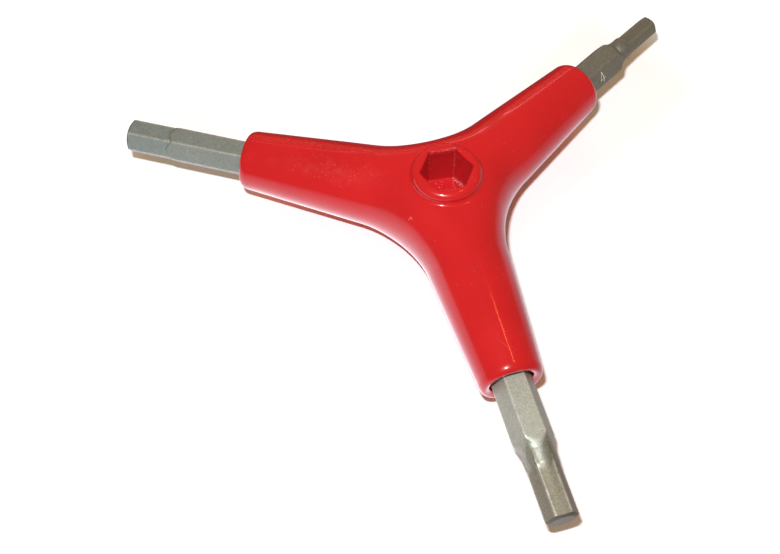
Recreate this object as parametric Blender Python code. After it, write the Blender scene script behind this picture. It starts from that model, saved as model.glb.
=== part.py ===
"""Three-way hexagon key wrench in the shape of a Y.

A stiff cast core grips three swaged hexagonal bits and wears a thick dipped skin, which rolls over at
the end of each arm and lines the hexagonal socket in the hub. Lengths are in metres. The origin is on
the resting face under the hub, +Z points up out of the socket, and the 5 mm arm points along -Y.
"""
from dataclasses import dataclass, replace
from math import asin, cos, hypot, pi, radians, sin, sqrt

import bmesh
import bpy
from mathutils import Matrix, Vector
from mathutils.bvhtree import BVHTree

# Whole wrench
TIP_REACH = 0.0638
SHANK_ACROSS_FLATS = 0.00635
ARM_COUNT = 3
ARM_PITCH = 2.0 * pi / ARM_COUNT
FIRST_ARM_TURN = radians(30)

# Outside of the skin, measured from the axes of the arms
ARM_END_REACH = 0.0395
ARM_END_RADIUS = 0.00562
ARM_TAPER = 0.083
CROTCH_RADIUS = 0.0216
HUB_HALF_HEIGHT = 0.0080
HUB_EDGE_RUN = 0.0065
LIP_LENGTH = 0.0018
LIP_DROP = 0.00085
MOUTH_RADIUS = 0.0041
MOUTH_ROUND = 0.0007
UNDERSIDE_FLAT_DEPTH = 0.0003

# Skin, core and the space between them
SKIN_THICKNESS = 0.0008
CLEARANCE = 0.0003
MOUTH_DEPTH = 0.0022

# Socket in the hub, and the bead round its mouth
SOCKET_ACROSS_FLATS = 0.0086
SOCKET_DEPTH = 0.0089
SOCKET_TURN = radians(24)
BEAD_HEIGHT = 0.0019
BEAD_CREST_RADIUS = 0.00515
BEAD_OUTER_RADIUS = 0.0065
BEAD_INNER_RADIUS = 0.0042
BEAD_INNER_DROP = 0.00045
BEAD_WALL_DROP = 0.0012
BEAD_FOOT_RUN = 0.00075
BEAD_FOOT_SINK = 0.00006

# The 4 mm tip, and the reaches and radii of its swaged neck
TIP_4_ACROSS_FLATS = 0.0040
SHOULDER_4_REACH = 0.0499
WAIST_4_RUN = 0.0031
WAIST_4_RADIUS = 0.00235
NECK_4_RUN = 0.0018

# The 5 mm tip
TIP_5_ACROSS_FLATS = 0.0050
SHOULDER_5_REACH = 0.0500
WAIST_5_RUN = 0.0022
WAIST_5_RADIUS = 0.00298
NECK_5_RUN = 0.0024

# The 6 mm tip
TIP_6_ACROSS_FLATS = 0.0060
SHOULDER_6_REACH = 0.0541
WAIST_6_RUN = 0.00215
WAIST_6_RADIUS = 0.00292
NECK_6_RUN = 0.0006

# What all the bits share
SWAGE_POWER = 1.7
NECK_FALL_SHARE = 0.42
BIT_TAIL_REACH = 0.0140
EDGE_ROUND = 0.00015
TAIL_CHAMFER = 0.0006
TIP_CHAMFER_RUN = 0.00045
TIP_CHAMFER_DROP = 0.00075
TURNING_ALLOWANCE = 0.0003

# One overrun for every cut
OVERRUN = 0.002

# Facets
LIP_ROWS = 4
STRAIGHT_ROWS = 7
CROTCH_ROWS = 8
SECTION_COLUMNS = 7
ROUND_FACETS = 32
CURVE_STEPS = 6
MERGE_DISTANCE = 0.000002
SMOOTH_ANGLE = radians(38)


@dataclass(frozen=True)
class ArmForm:
    """A Y of three round tapering arms that run into a flatter hub."""

    end_reach: float
    end_radius: float
    taper: float
    crotch_radius: float
    hub_height: float
    edge_run: float
    lip_length: float
    lip_drop: float

    def shrunk(self, distance):
        """The same Y with its sides and faces moved inwards."""
        slant = hypot(1.0, self.taper)
        return replace(
            self,
            end_radius=self.end_radius - distance * slant,
            crotch_radius=self.crotch_radius + distance,
            hub_height=self.hub_height - distance,
            edge_run=self.edge_run - distance,
        )

    def cut_to(self, reach, lip_length, lip_drop):
        """The same Y with each arm cut off at a reach and given another rounding."""
        return replace(
            self,
            end_reach=reach,
            end_radius=self.radius(reach),
            lip_length=lip_length,
            lip_drop=lip_drop,
        )

    def radius(self, reach):
        """Radius of an arm, which grows towards the hub."""
        return self.end_radius + self.taper * (self.end_reach - reach)

    def crotch_centre(self):
        """Distance from the hub's axis to the centre of the curve between two arms."""
        half = 0.5 * ARM_PITCH
        slant = hypot(1.0, self.taper)
        return (self.radius(0.0) + self.crotch_radius * slant) / (self.taper * cos(half) + sin(half))

    def side(self, share):
        """Point on the outline between the straight side, at 0, and the middle of the crotch, at 1."""
        half = 0.5 * ARM_PITCH
        centre = self.crotch_centre()
        first = pi / 2 - asin(self.taper / hypot(1.0, self.taper))
        angle = first + share * (half - first)
        return (
            centre * cos(half) - self.crotch_radius * cos(angle),
            centre * sin(half) - self.crotch_radius * sin(angle),
        )

    def height(self, reach):
        """Half the thickness over an arm's axis, level at the hub."""
        blend = 2.0 * (self.radius(0.0) - self.hub_height) / self.taper
        if reach >= blend:
            return self.radius(reach)
        return self.hub_height - 0.5 * self.taper * reach * reach / blend

    def station(self, row):
        """Outline point, ridge point, height and edge run of one row, from the arm's end to the crotch."""
        tangent, half_width = self.side(0.0)
        lip_start = self.end_reach - self.lip_length
        if row <= LIP_ROWS:
            angle = 0.5 * pi * (1.0 - row / LIP_ROWS)
            reach = lip_start + self.lip_length * sin(angle)
            radius = self.radius(lip_start) - self.lip_drop * (1.0 - cos(angle))
            return (reach, radius), reach, radius, radius
        if row <= LIP_ROWS + STRAIGHT_ROWS:
            share = (row - LIP_ROWS) / STRAIGHT_ROWS
            reach = lip_start + share * (tangent - lip_start)
            return (reach, self.radius(reach)), reach, self.height(reach), self.radius(reach)
        share = (row - LIP_ROWS - STRAIGHT_ROWS) / CROTCH_ROWS
        point = self.side(share)
        drop = tangent - self.side(1.0)[0]
        ridge = tangent * (2.0 * share**3 - 3.0 * share**2 + 1.0)
        ridge -= drop * (share**3 - 2.0 * share**2 + share)
        ease = share * share * (3.0 - 2.0 * share)
        run = half_width + ease * (self.edge_run - half_width)
        return point, ridge, self.height(ridge), run

    def surface(self, row, column):
        """Point of the upper face: round from the outline, then level to the ridge."""
        (x, y), ridge, height, run = self.station(row)
        width = hypot(x - ridge, y)
        arc = 0.25 * pi * (run + height)
        level = max(width - run, 0.0)
        distance = column / SECTION_COLUMNS * (arc + level)
        if distance <= arc:
            angle = 0.5 * pi * distance / arc
            inward = run * (1.0 - cos(angle))
            lift = height * sin(angle)
        else:
            inward = run + distance - arc
            lift = height
        share = inward / width
        return Vector((x + share * (ridge - x), y * (1.0 - share), lift))


SKIN_FORM = ArmForm(
    end_reach=ARM_END_REACH,
    end_radius=ARM_END_RADIUS,
    taper=ARM_TAPER,
    crotch_radius=CROTCH_RADIUS,
    hub_height=HUB_HALF_HEIGHT,
    edge_run=HUB_EDGE_RUN,
    lip_length=LIP_LENGTH,
    lip_drop=LIP_DROP,
)
AXIS_HEIGHT = HUB_HALF_HEIGHT - UNDERSIDE_FLAT_DEPTH
CORE_REACH = ARM_END_REACH - MOUTH_DEPTH
CORE_END_ROUND = CLEARANCE
CAVITY_FORM = SKIN_FORM.shrunk(SKIN_THICKNESS).cut_to(CORE_REACH, CORE_END_ROUND, CORE_END_ROUND)
CORE_FORM = SKIN_FORM.shrunk(SKIN_THICKNESS + CLEARANCE).cut_to(
    CORE_REACH - CLEARANCE, CORE_END_ROUND, CORE_END_ROUND
)
BEAD_TOP = HUB_HALF_HEIGHT + BEAD_HEIGHT
SOCKET_FLOOR = BEAD_TOP - SOCKET_DEPTH


@dataclass(frozen=True)
class Bit:
    """A hexagonal bit whose shank is swaged down to a smaller hexagonal tip."""

    name: str
    turn: float
    across_flats: float
    shoulder_reach: float
    waist_run: float
    waist_radius: float
    neck_run: float


BITS = (
    Bit(
        "bit_4mm",
        FIRST_ARM_TURN,
        TIP_4_ACROSS_FLATS,
        SHOULDER_4_REACH,
        WAIST_4_RUN,
        WAIST_4_RADIUS,
        NECK_4_RUN,
    ),
    Bit(
        "bit_6mm",
        FIRST_ARM_TURN + ARM_PITCH,
        TIP_6_ACROSS_FLATS,
        SHOULDER_6_REACH,
        WAIST_6_RUN,
        WAIST_6_RADIUS,
        NECK_6_RUN,
    ),
    Bit(
        "bit_5mm",
        FIRST_ARM_TURN + 2.0 * ARM_PITCH,
        TIP_5_ACROSS_FLATS,
        SHOULDER_5_REACH,
        WAIST_5_RUN,
        WAIST_5_RADIUS,
        NECK_5_RUN,
    ),
)


def corner_radius(across_flats):
    """Radius of a hexagon's corners."""
    return across_flats / sqrt(3.0)


def make_material(name, colour, roughness, metallic):
    """A plain finish for one piece."""
    material = bpy.data.materials.new(name)
    material.use_nodes = True
    shader = material.node_tree.nodes["Principled BSDF"]
    shader.inputs["Base Color"].default_value = (*colour, 1.0)
    shader.inputs["Roughness"].default_value = roughness
    shader.inputs["Metallic"].default_value = metallic
    material.diffuse_color = (*colour, 1.0)
    return material


def add_object(name, bm, material=None):
    """Turns a bmesh into an object, shaded smooth between its sharp edges."""
    bmesh.ops.recalc_face_normals(bm, faces=bm.faces)
    mesh = bpy.data.meshes.new(name)
    bm.to_mesh(mesh)
    bm.free()
    mesh.shade_smooth()
    mesh.set_sharp_from_angle(angle=SMOOTH_ANGLE)
    if material:
        mesh.materials.append(material)
    obj = bpy.data.objects.new(name, mesh)
    bpy.context.scene.collection.objects.link(obj)
    return obj


def add_guide(name, bm):
    """Turns a bmesh into a cutter that only shapes other pieces."""
    obj = add_object(name, bm)
    obj.hide_render = True
    obj.display_type = "WIRE"
    return obj


def combine(obj, guide, operation):
    """Cuts, joins or trims a piece with another shape."""
    modifier = obj.modifiers.new(guide.name, "BOOLEAN")
    modifier.operation = operation
    modifier.object = guide
    modifier.solver = "EXACT"


def arm_mesh(form):
    """The closed solid of a Y form, its arms' axes in the plane z = 0."""
    bm = bmesh.new()
    rows = LIP_ROWS + STRAIGHT_ROWS + CROTCH_ROWS
    bmesh.ops.create_grid(bm, x_segments=rows, y_segments=SECTION_COLUMNS, size=1.0)
    for vertex in bm.verts:
        row = round((vertex.co.x + 1.0) / 2.0 * rows)
        column = round((vertex.co.y + 1.0) / 2.0 * SECTION_COLUMNS)
        vertex.co = form.surface(row, column)
    for axis in ("Y", "Z"):
        bmesh.ops.mirror(
            bm, geom=bm.verts[:] + bm.edges[:] + bm.faces[:], merge_dist=MERGE_DISTANCE, axis=axis
        )
    rim = [
        edge
        for edge in bm.edges
        if edge.is_boundary and min(v.co.x for v in edge.verts) > form.end_reach - MERGE_DISTANCE
    ]
    bmesh.ops.edgeloop_fill(bm, edges=rim)
    first = bm.verts[:] + bm.edges[:] + bm.faces[:]
    bmesh.ops.rotate(bm, verts=bm.verts, matrix=Matrix.Rotation(FIRST_ARM_TURN, 3, "Z"))
    bmesh.ops.spin(
        bm,
        geom=first,
        axis=(0.0, 0.0, 1.0),
        angle=ARM_PITCH * (ARM_COUNT - 1),
        steps=ARM_COUNT - 1,
        use_duplicate=True,
    )
    bmesh.ops.remove_doubles(bm, verts=bm.verts, dist=MERGE_DISTANCE)
    return bm


def turned_mesh(profile):
    """A solid turned about +X from points of (reach, radius) that start and end on the axis."""
    bm = bmesh.new()
    points = [bm.verts.new((x, radius, 0.0)) for x, radius in profile]
    line = [bm.edges.new(pair) for pair in zip(points, points[1:])]
    bmesh.ops.spin(
        bm,
        geom=points + line,
        axis=(1.0, 0.0, 0.0),
        angle=2.0 * pi,
        steps=ROUND_FACETS,
        use_merge=True,
    )
    bmesh.ops.remove_doubles(bm, verts=bm.verts, dist=MERGE_DISTANCE)
    return bm


def hexagon_mesh(across_flats, start, end, edge_round=0.0):
    """A hexagonal bar along +X with two flats level, its long edges rounded."""
    bm = bmesh.new()
    bmesh.ops.create_cone(
        bm,
        cap_ends=True,
        segments=6,
        radius1=corner_radius(across_flats),
        radius2=corner_radius(across_flats),
        depth=end - start,
    )
    bmesh.ops.rotate(bm, verts=bm.verts, matrix=Matrix.Rotation(pi / 2, 3, "Y"))
    bmesh.ops.translate(bm, verts=bm.verts, vec=(0.5 * (start + end), 0.0, 0.0))
    if edge_round:
        long_edges = [e for e in bm.edges if abs(e.verts[0].co.x - e.verts[1].co.x) > MERGE_DISTANCE]
        bmesh.ops.bevel(
            bm, geom=long_edges, offset=edge_round, segments=2, profile=0.5, affect="EDGES"
        )
    return bm


def upright(bm, turn=0.0):
    """Stands a shape made along +X on its end, so that it runs along +Z."""
    bmesh.ops.rotate(bm, verts=bm.verts, matrix=Matrix.Rotation(-pi / 2, 3, "Y"))
    bmesh.ops.rotate(bm, verts=bm.verts, matrix=Matrix.Rotation(turn, 3, "Z"))
    return bm


def arc_points(start, end, bulge_first):
    """Points of a quarter ellipse from start to end, leaving start along its first axis or its second."""
    points = []
    for step in range(CURVE_STEPS + 1):
        angle = 0.5 * pi * step / CURVE_STEPS
        first, second = sin(angle), 1.0 - cos(angle)
        if not bulge_first:
            first, second = second, first
        points.append((start[0] + first * (end[0] - start[0]), start[1] + second * (end[1] - start[1])))
    return points


def bead_mesh(hub):
    """The rounded bead round the socket's mouth, whose foot follows the surface of the hub."""
    wall_foot = BEAD_TOP - BEAD_WALL_DROP
    foot = (HUB_HALF_HEIGHT - BEAD_FOOT_SINK, BEAD_OUTER_RADIUS + BEAD_FOOT_RUN)
    inner_edge = (BEAD_TOP - BEAD_INNER_DROP, BEAD_INNER_RADIUS)
    profile = [(inner_edge[0], 0.0)]
    profile += arc_points(inner_edge, (BEAD_TOP, BEAD_CREST_RADIUS), True)
    profile += arc_points((BEAD_TOP, BEAD_CREST_RADIUS), (wall_foot, BEAD_OUTER_RADIUS), False)[1:]
    profile += arc_points((wall_foot, BEAD_OUTER_RADIUS), foot, True)[1:]
    profile += [(foot[0] - OVERRUN, foot[1]), (foot[0] - OVERRUN, 0.0)]
    bm = upright(turned_mesh(profile))
    for vertex in bm.verts:
        share = (vertex.co.xy.length - BEAD_OUTER_RADIUS) / BEAD_FOOT_RUN
        if share > 0.0:
            above = Vector((vertex.co.x, vertex.co.y, BEAD_TOP))
            surface = hub.ray_cast(above, Vector((0.0, 0.0, -1.0)))[0]
            vertex.co.z += share * (surface.z - HUB_HALF_HEIGHT)
    return bm


def socket_mesh(across_flats, floor):
    """A hexagonal bar that cuts the socket down to its floor."""
    return upright(hexagon_mesh(across_flats, floor, BEAD_TOP + OVERRUN), SOCKET_TURN)


def mouth_mesh():
    """The round recess in the end of an arm, flared at its lip."""
    flare = arc_points(
        (ARM_END_REACH - MOUTH_ROUND, MOUTH_RADIUS), (ARM_END_REACH, MOUTH_RADIUS + MOUTH_ROUND), True
    )
    inner = CORE_REACH - OVERRUN
    profile = [(inner, 0.0), (inner, MOUTH_RADIUS)] + flare
    profile += [(ARM_END_REACH + OVERRUN, MOUTH_RADIUS + MOUTH_ROUND), (ARM_END_REACH + OVERRUN, 0.0)]
    return turned_mesh(profile)


def rest_mesh(underside):
    """A block that levels the underside of the hub."""
    bm = bmesh.new()
    bmesh.ops.create_cube(bm, size=1.0)
    size = 2.0 * TIP_REACH
    bmesh.ops.scale(bm, verts=bm.verts, vec=(size, size, OVERRUN))
    bmesh.ops.translate(bm, verts=bm.verts, vec=(0.0, 0.0, underside - 0.5 * OVERRUN))
    return bm


def place(obj, parent, turn=0.0):
    """Hangs a piece on the frame of the arms' axes, turned to its arm."""
    obj.parent = parent
    obj.rotation_euler.z = turn


def build_skin(frame, material):
    """The dipped skin: a Y shell with a lined socket and rolled lips."""
    outside = arm_mesh(SKIN_FORM)
    bead = add_guide("socket_bead", bead_mesh(BVHTree.FromBMesh(outside)))
    skin = add_object("handle_skin", outside, material)
    cavity = add_guide("skin_cavity", arm_mesh(CAVITY_FORM))
    liner_width = SOCKET_ACROSS_FLATS + 2.0 * SKIN_THICKNESS
    liner = add_guide("socket_liner", socket_mesh(liner_width, SOCKET_FLOOR - SKIN_THICKNESS))
    socket = add_guide("socket_bore", socket_mesh(SOCKET_ACROSS_FLATS, SOCKET_FLOOR))
    rest = add_guide("rest_cut", rest_mesh(UNDERSIDE_FLAT_DEPTH - HUB_HALF_HEIGHT))
    combine(cavity, liner, "DIFFERENCE")
    combine(skin, bead, "UNION")
    combine(skin, cavity, "DIFFERENCE")
    combine(skin, socket, "DIFFERENCE")
    combine(skin, rest, "DIFFERENCE")
    for guide in (cavity, liner, bead, socket, rest):
        place(guide, frame)
    for bit in BITS:
        mouth = add_guide("mouth_of_" + bit.name, mouth_mesh())
        place(mouth, frame, bit.turn)
        combine(skin, mouth, "DIFFERENCE")
    place(skin, frame)


def build_core(frame, material):
    """The cast core: a Y with a hexagonal recess and a hexagonal hole in each arm."""
    core = add_object("handle_core", arm_mesh(CORE_FORM), material)
    recess_width = SOCKET_ACROSS_FLATS + 2.0 * (SKIN_THICKNESS + CLEARANCE)
    recess_floor = SOCKET_FLOOR - SKIN_THICKNESS - CLEARANCE
    recess = add_guide("core_recess", socket_mesh(recess_width, recess_floor))
    place(recess, frame)
    combine(core, recess, "DIFFERENCE")
    hole_width = SHANK_ACROSS_FLATS + 2.0 * CLEARANCE
    for bit in BITS:
        bar = hexagon_mesh(hole_width, BIT_TAIL_REACH - CLEARANCE, CORE_REACH + OVERRUN)
        hole = add_guide("hole_for_" + bit.name, bar)
        place(hole, frame, bit.turn)
        combine(core, hole, "DIFFERENCE")
    place(core, frame)


def neck_profile(bit):
    """Turned outline of the shank and of the swaged neck that runs into the tip."""
    corner = corner_radius(SHANK_ACROSS_FLATS)
    clear = corner + TURNING_ALLOWANCE
    tip_corner = corner_radius(bit.across_flats)
    waist = bit.shoulder_reach + bit.waist_run
    neck_end = waist + bit.neck_run
    tail = BIT_TAIL_REACH + TAIL_CHAMFER
    profile = [
        (BIT_TAIL_REACH, 0.0),
        (BIT_TAIL_REACH, corner - TAIL_CHAMFER),
        (tail, corner),
        (tail + TURNING_ALLOWANCE, clear),
        (bit.shoulder_reach - TURNING_ALLOWANCE, clear),
    ]
    for step in range(CURVE_STEPS + 1):
        share = step / CURVE_STEPS
        left = (1.0 - share) ** SWAGE_POWER
        radius = bit.waist_radius + left * (corner - bit.waist_radius)
        profile.append((bit.shoulder_reach + share * bit.waist_run, radius))
    for step in range(1, CURVE_STEPS + 1):
        share = step / CURVE_STEPS
        ease = share * share * (3.0 - 2.0 * share)
        radius = bit.waist_radius + ease * (min(tip_corner, bit.waist_radius) - bit.waist_radius)
        profile.append((waist + share * bit.neck_run, radius))
    inside = 0.5 * bit.across_flats - TURNING_ALLOWANCE
    fall_end = neck_end + NECK_FALL_SHARE * tip_corner
    profile += arc_points((neck_end, profile[-1][1]), (fall_end, inside), True)[1:]
    profile.append((fall_end, 0.0))
    return profile


def build_bit(bit, frame, material):
    """One bit: a hexagonal bar trimmed to its turned neck, joined to its smaller tip."""
    shank_end = bit.shoulder_reach + bit.waist_run + bit.neck_run + bit.across_flats
    piece = add_object(
        bit.name,
        hexagon_mesh(SHANK_ACROSS_FLATS, BIT_TAIL_REACH - OVERRUN, shank_end, EDGE_ROUND),
        material,
    )
    turned = add_guide("neck_of_" + bit.name, turned_mesh(neck_profile(bit)))
    combine(piece, turned, "INTERSECT")
    corner = corner_radius(bit.across_flats)
    tip_start = bit.shoulder_reach
    tip = add_guide(
        "tip_of_" + bit.name,
        hexagon_mesh(bit.across_flats, tip_start, TIP_REACH + OVERRUN, EDGE_ROUND),
    )
    clear = corner + TURNING_ALLOWANCE
    slope = TIP_CHAMFER_RUN / TIP_CHAMFER_DROP
    lead = TURNING_ALLOWANCE * slope
    end_profile = [
        (tip_start - OVERRUN, 0.0),
        (tip_start - OVERRUN, clear),
        (TIP_REACH - TIP_CHAMFER_RUN - lead, clear),
        (TIP_REACH, corner - TIP_CHAMFER_DROP),
        (TIP_REACH, 0.0),
    ]
    end = add_guide("end_of_" + bit.name, turned_mesh(end_profile))
    combine(tip, end, "INTERSECT")
    combine(piece, tip, "UNION")
    for obj in (piece, turned, tip, end):
        place(obj, frame, bit.turn)


def main():
    """Builds the wrench from an empty scene."""
    for obj in list(bpy.data.objects):
        bpy.data.objects.remove(obj, do_unlink=True)
    frame = bpy.data.objects.new("arm_axes", None)
    frame.location.z = AXIS_HEIGHT
    bpy.context.scene.collection.objects.link(frame)
    build_skin(frame, make_material("dipped_red", (0.66, 0.02, 0.025), 0.22, 0.0))
    build_core(frame, make_material("cast_grey", (0.33, 0.33, 0.34), 0.55, 0.9))
    steel = (0.29, 0.29, 0.26)
    for bit in BITS:
        build_bit(bit, frame, make_material("steel_of_" + bit.name, steel, 0.42, 0.9))


main()
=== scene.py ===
"""Looks of the three-way hexagon key wrench.

The red dipped skin and the three swaged steel bits are modelled finely here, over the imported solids, and
every surface gets its own procedural finish. Lengths are in metres. The origin is under the hub, +Z points
up out of the socket, and the 5 mm arm points along -Y.
"""
from __future__ import annotations

import logging
from collections.abc import Callable
from dataclasses import dataclass, field, replace
from enum import Enum
from math import acos, asin, atan, atan2, cos, hypot, pi, radians, sin, sqrt, tan

import bmesh
import bpy
from mathutils import Matrix, Vector


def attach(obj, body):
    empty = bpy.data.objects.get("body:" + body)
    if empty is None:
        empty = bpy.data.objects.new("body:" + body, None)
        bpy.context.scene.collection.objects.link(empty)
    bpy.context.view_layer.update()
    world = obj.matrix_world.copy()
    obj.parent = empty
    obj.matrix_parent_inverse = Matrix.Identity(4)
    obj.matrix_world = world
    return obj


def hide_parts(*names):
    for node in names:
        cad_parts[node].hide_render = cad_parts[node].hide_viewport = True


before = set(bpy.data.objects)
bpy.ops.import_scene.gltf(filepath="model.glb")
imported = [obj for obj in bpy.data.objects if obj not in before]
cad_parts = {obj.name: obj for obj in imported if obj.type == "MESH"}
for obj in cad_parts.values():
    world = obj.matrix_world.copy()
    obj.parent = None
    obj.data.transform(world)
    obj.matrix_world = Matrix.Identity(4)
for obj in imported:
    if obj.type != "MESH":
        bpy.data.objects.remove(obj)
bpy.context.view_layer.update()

log = logging.getLogger("y_wrench")

ARM_COUNT = 3
ARM_PITCH = 2.0 * pi / ARM_COUNT
HALF_PITCH = 0.5 * ARM_PITCH
QUARTER_TURN = 0.5 * pi
HEXAGON_SIDES = 6
FACE_ANGLE = 2.0 * pi / HEXAGON_SIDES
HALF_FACE = 0.5 * FACE_ANGLE
SMOOTH_ANGLE = radians(40)
MERGE_DISTANCE = 0.000001
MILLIMETRE = 0.001
AXIS_HEIGHT = 0.0077
BLEND_SHARE = 0.25
HALVINGS = 40
DIRECTIONS = 36000

Pair = tuple[float, float]
Triple = tuple[float, float, float]
Colour = tuple[float, float, float, float]

BLACK: Colour = (0.0, 0.0, 0.0, 1.0)
WHITE: Colour = (1.0, 1.0, 1.0, 1.0)
WARM: Colour = (1.0, 0.66, 0.36, 1.0)


class Arm(Enum):
    """The arms by the tips that they carry, with their turns from +X in degrees."""

    FOUR = 30.0
    SIX = 150.0
    FIVE = 270.0

    @property
    def turn(self) -> float:
        """Turn from +X in radians."""
        return radians(self.value)


# Shapes


def solve(rises: Callable[[float], float], low: float, high: float) -> float:
    """Finds where a rising function passes zero.

    Args:
        rises: Function of one number that rises from below zero to above it.
        low: Where it is below zero.
        high: Where it is above zero.

    Returns:
        The place of the crossing.
    """
    for _ in range(HALVINGS):
        middle = 0.5 * (low + high)
        if rises(middle) > 0.0:
            high = middle
        else:
            low = middle
    return 0.5 * (low + high)


def quarter(start: Pair, end: Pair, steps: int) -> list[Pair]:
    """Points of a quarter ellipse after its start, which it leaves along the first coordinate.

    Args:
        start: First point.
        end: Last point.
        steps: Number of points returned.

    Returns:
        The points, the last one at the end.
    """
    points = []
    for step in range(1, steps + 1):
        angle = QUARTER_TURN * step / steps
        along = (sin(angle), 1.0 - cos(angle))
        points.append(tuple(a + share * (b - a) for a, b, share in zip(start, end, along)))
    return points


def hexagon_radius(angle: float, across_flats: float, corner_round: float) -> float:
    """Distance from the centre of a hexagon to its outline.

    Args:
        angle: Direction, measured from one of the corners.
        across_flats: Width over two flats.
        corner_round: Radius of the rounded corners.

    Returns:
        The distance in that direction.
    """
    flat = 0.5 * across_flats
    from_corner = abs((angle + HALF_FACE) % FACE_ANGLE - HALF_FACE)
    from_flat = HALF_FACE - from_corner
    if from_flat <= atan((flat - corner_round) * tan(HALF_FACE) / flat):
        return flat / cos(from_flat)
    middle = (flat - corner_round) / cos(HALF_FACE)
    return middle * cos(from_corner) + sqrt(max(corner_round**2 - (middle * sin(from_corner)) ** 2, 0.0))


def corner_radius(across_flats: float) -> float:
    """Distance from the centre of a hexagon to its sharp corners."""
    return across_flats / sqrt(3.0)


def ease(share: float) -> float:
    """A share that starts and ends slowly."""
    return share * share * (3.0 - 2.0 * share)


def smooth_least(first: float, second: float, blend: float) -> float:
    """The smaller of two lengths, with the corner between them rounded over a blend length."""
    share = max(blend - abs(first - second), 0.0) / blend
    return min(first, second) - BLEND_SHARE * blend * share * share


def smooth_most(first: float, second: float, blend: float) -> float:
    """The larger of two lengths, with the corner between them rounded over a blend length."""
    return -smooth_least(-first, -second, blend)


@dataclass(frozen=True)
class Station:
    """One row across a half arm, from the outline towards the ridge over the arm's axis.

    Args:
        point: Place on the outline.
        ridge: Reach at which the row meets the arm's axis.
        height: Height of the ridge over the axis.
        run: Width over which the side turns from upright to level.
        stop: Width at which the row ends.
    """

    point: Pair
    ridge: float
    height: float
    run: float
    stop: float

    @property
    def width(self) -> float:
        """Distance from the outline to the ridge."""
        return hypot(self.point[0] - self.ridge, self.point[1])

    def place(self, share: float) -> Vector:
        """Point at a share of the row's length, on the upper side."""
        arc = 0.25 * pi * (self.run + self.height)
        if self.stop > self.run:
            length = arc + self.stop - self.run
        else:
            length = arc * acos(1.0 - self.stop / self.run) / QUARTER_TURN
        distance = share * length
        if distance <= arc:
            angle = QUARTER_TURN * distance / arc
            inward = self.run * (1.0 - cos(angle))
            lift = self.height * sin(angle)
        else:
            inward = self.run + distance - arc
            lift = self.height
        part = inward / self.width
        x, y = self.point
        return Vector((x + part * (self.ridge - x), y * (1.0 - part), lift))


@dataclass(frozen=True)
class YForm:
    """Round tapering arms that run into a flatter hub, measured from the arms' axes.

    Args:
        end_reach: Distance from the hub's axis to the end of an arm.
        end_radius: Radius that an arm would have there without its rounding.
        taper: Growth of the radius towards the hub.
        crotch_radius: Radius of the curve between two arms.
        hub_height: Height of the hub over the arms' axes.
        edge_run: Width over which the hub's side turns level.
        lip_length: Length of the rounding at an arm's end.
        lip_drop: Depth of that rounding.
    """

    end_reach: float = 0.0395
    end_radius: float = 0.00562
    taper: float = 0.083
    crotch_radius: float = 0.0216
    hub_height: float = 0.0080
    edge_run: float = 0.0065
    lip_length: float = 0.0018
    lip_drop: float = 0.00085

    def shrunk(self, distance: float) -> YForm:
        """The same form with its sides and faces moved inwards."""
        return replace(
            self,
            end_radius=self.end_radius - distance * hypot(1.0, self.taper),
            crotch_radius=self.crotch_radius + distance,
            hub_height=self.hub_height - distance,
            edge_run=self.edge_run - distance,
        )

    def cut_to(self, reach: float, rounding: float) -> YForm:
        """The same form with its arms cut off at a reach and their ends rounded."""
        return replace(
            self,
            end_reach=reach,
            end_radius=self.radius(reach),
            lip_length=rounding,
            lip_drop=rounding,
        )

    def radius(self, reach: float) -> float:
        """Radius of an arm at a reach."""
        return self.end_radius + self.taper * (self.end_reach - reach)

    def side(self, share: float) -> Pair:
        """Point on the curve between the arms, from the straight side at 0 to its middle at 1."""
        slant = hypot(1.0, self.taper)
        spread = self.taper * cos(HALF_PITCH) + sin(HALF_PITCH)
        centre = (self.radius(0.0) + self.crotch_radius * slant) / spread
        first = QUARTER_TURN - asin(self.taper / slant)
        angle = first + share * (HALF_PITCH - first)
        return (
            centre * cos(HALF_PITCH) - self.crotch_radius * cos(angle),
            centre * sin(HALF_PITCH) - self.crotch_radius * sin(angle),
        )

    def height(self, reach: float) -> float:
        """Height of the ridge, level at the hub."""
        blend = 2.0 * (self.radius(0.0) - self.hub_height) / self.taper
        if reach >= blend:
            return self.radius(reach)
        return self.hub_height - 0.5 * self.taper * reach * reach / blend

    def round_station(self, reach: float, radius: float) -> Station:
        """A row of a round section."""
        return Station((reach, radius), reach, radius, radius, radius)

    def straight_station(self, reach: float) -> Station:
        """A row of the straight part of an arm."""
        radius = self.radius(reach)
        return Station((reach, radius), reach, self.height(reach), radius, radius)

    def ridge(self, share: float) -> float:
        """Reach of the ridge point of a row that starts on the curve between the arms."""
        tangent = self.side(0.0)[0]
        drop = tangent - self.side(1.0)[0]
        cubic = tangent * (2.0 * share**3 - 3.0 * share**2 + 1.0)
        return cubic - drop * (share**3 - 2.0 * share**2 + share)

    def crotch_station(self, share: float, ring: float) -> Station:
        """A row that starts on the curve between the arms and stops at a ring round the hub's axis."""
        x, y = self.side(share)
        ridge = self.ridge(share)
        half_width = self.side(0.0)[1]
        run = half_width + ease(share) * (self.edge_run - half_width)
        width = hypot(x - ridge, y)
        stop = width
        if ridge < ring:
            along = Vector((ridge - x, -y)) / width
            near = -along.dot(Vector((x, y)))
            stop = near - sqrt(near * near - (x * x + y * y - ring * ring))
        return Station((x, y), ridge, self.height(ridge), run, stop)

    def ring_angle(self, share: float, ring: float) -> float:
        """Direction in which such a row meets the ring, from the arm's axis."""
        place = self.crotch_station(share, ring).place(1.0)
        return atan2(place.y, place.x)


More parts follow.
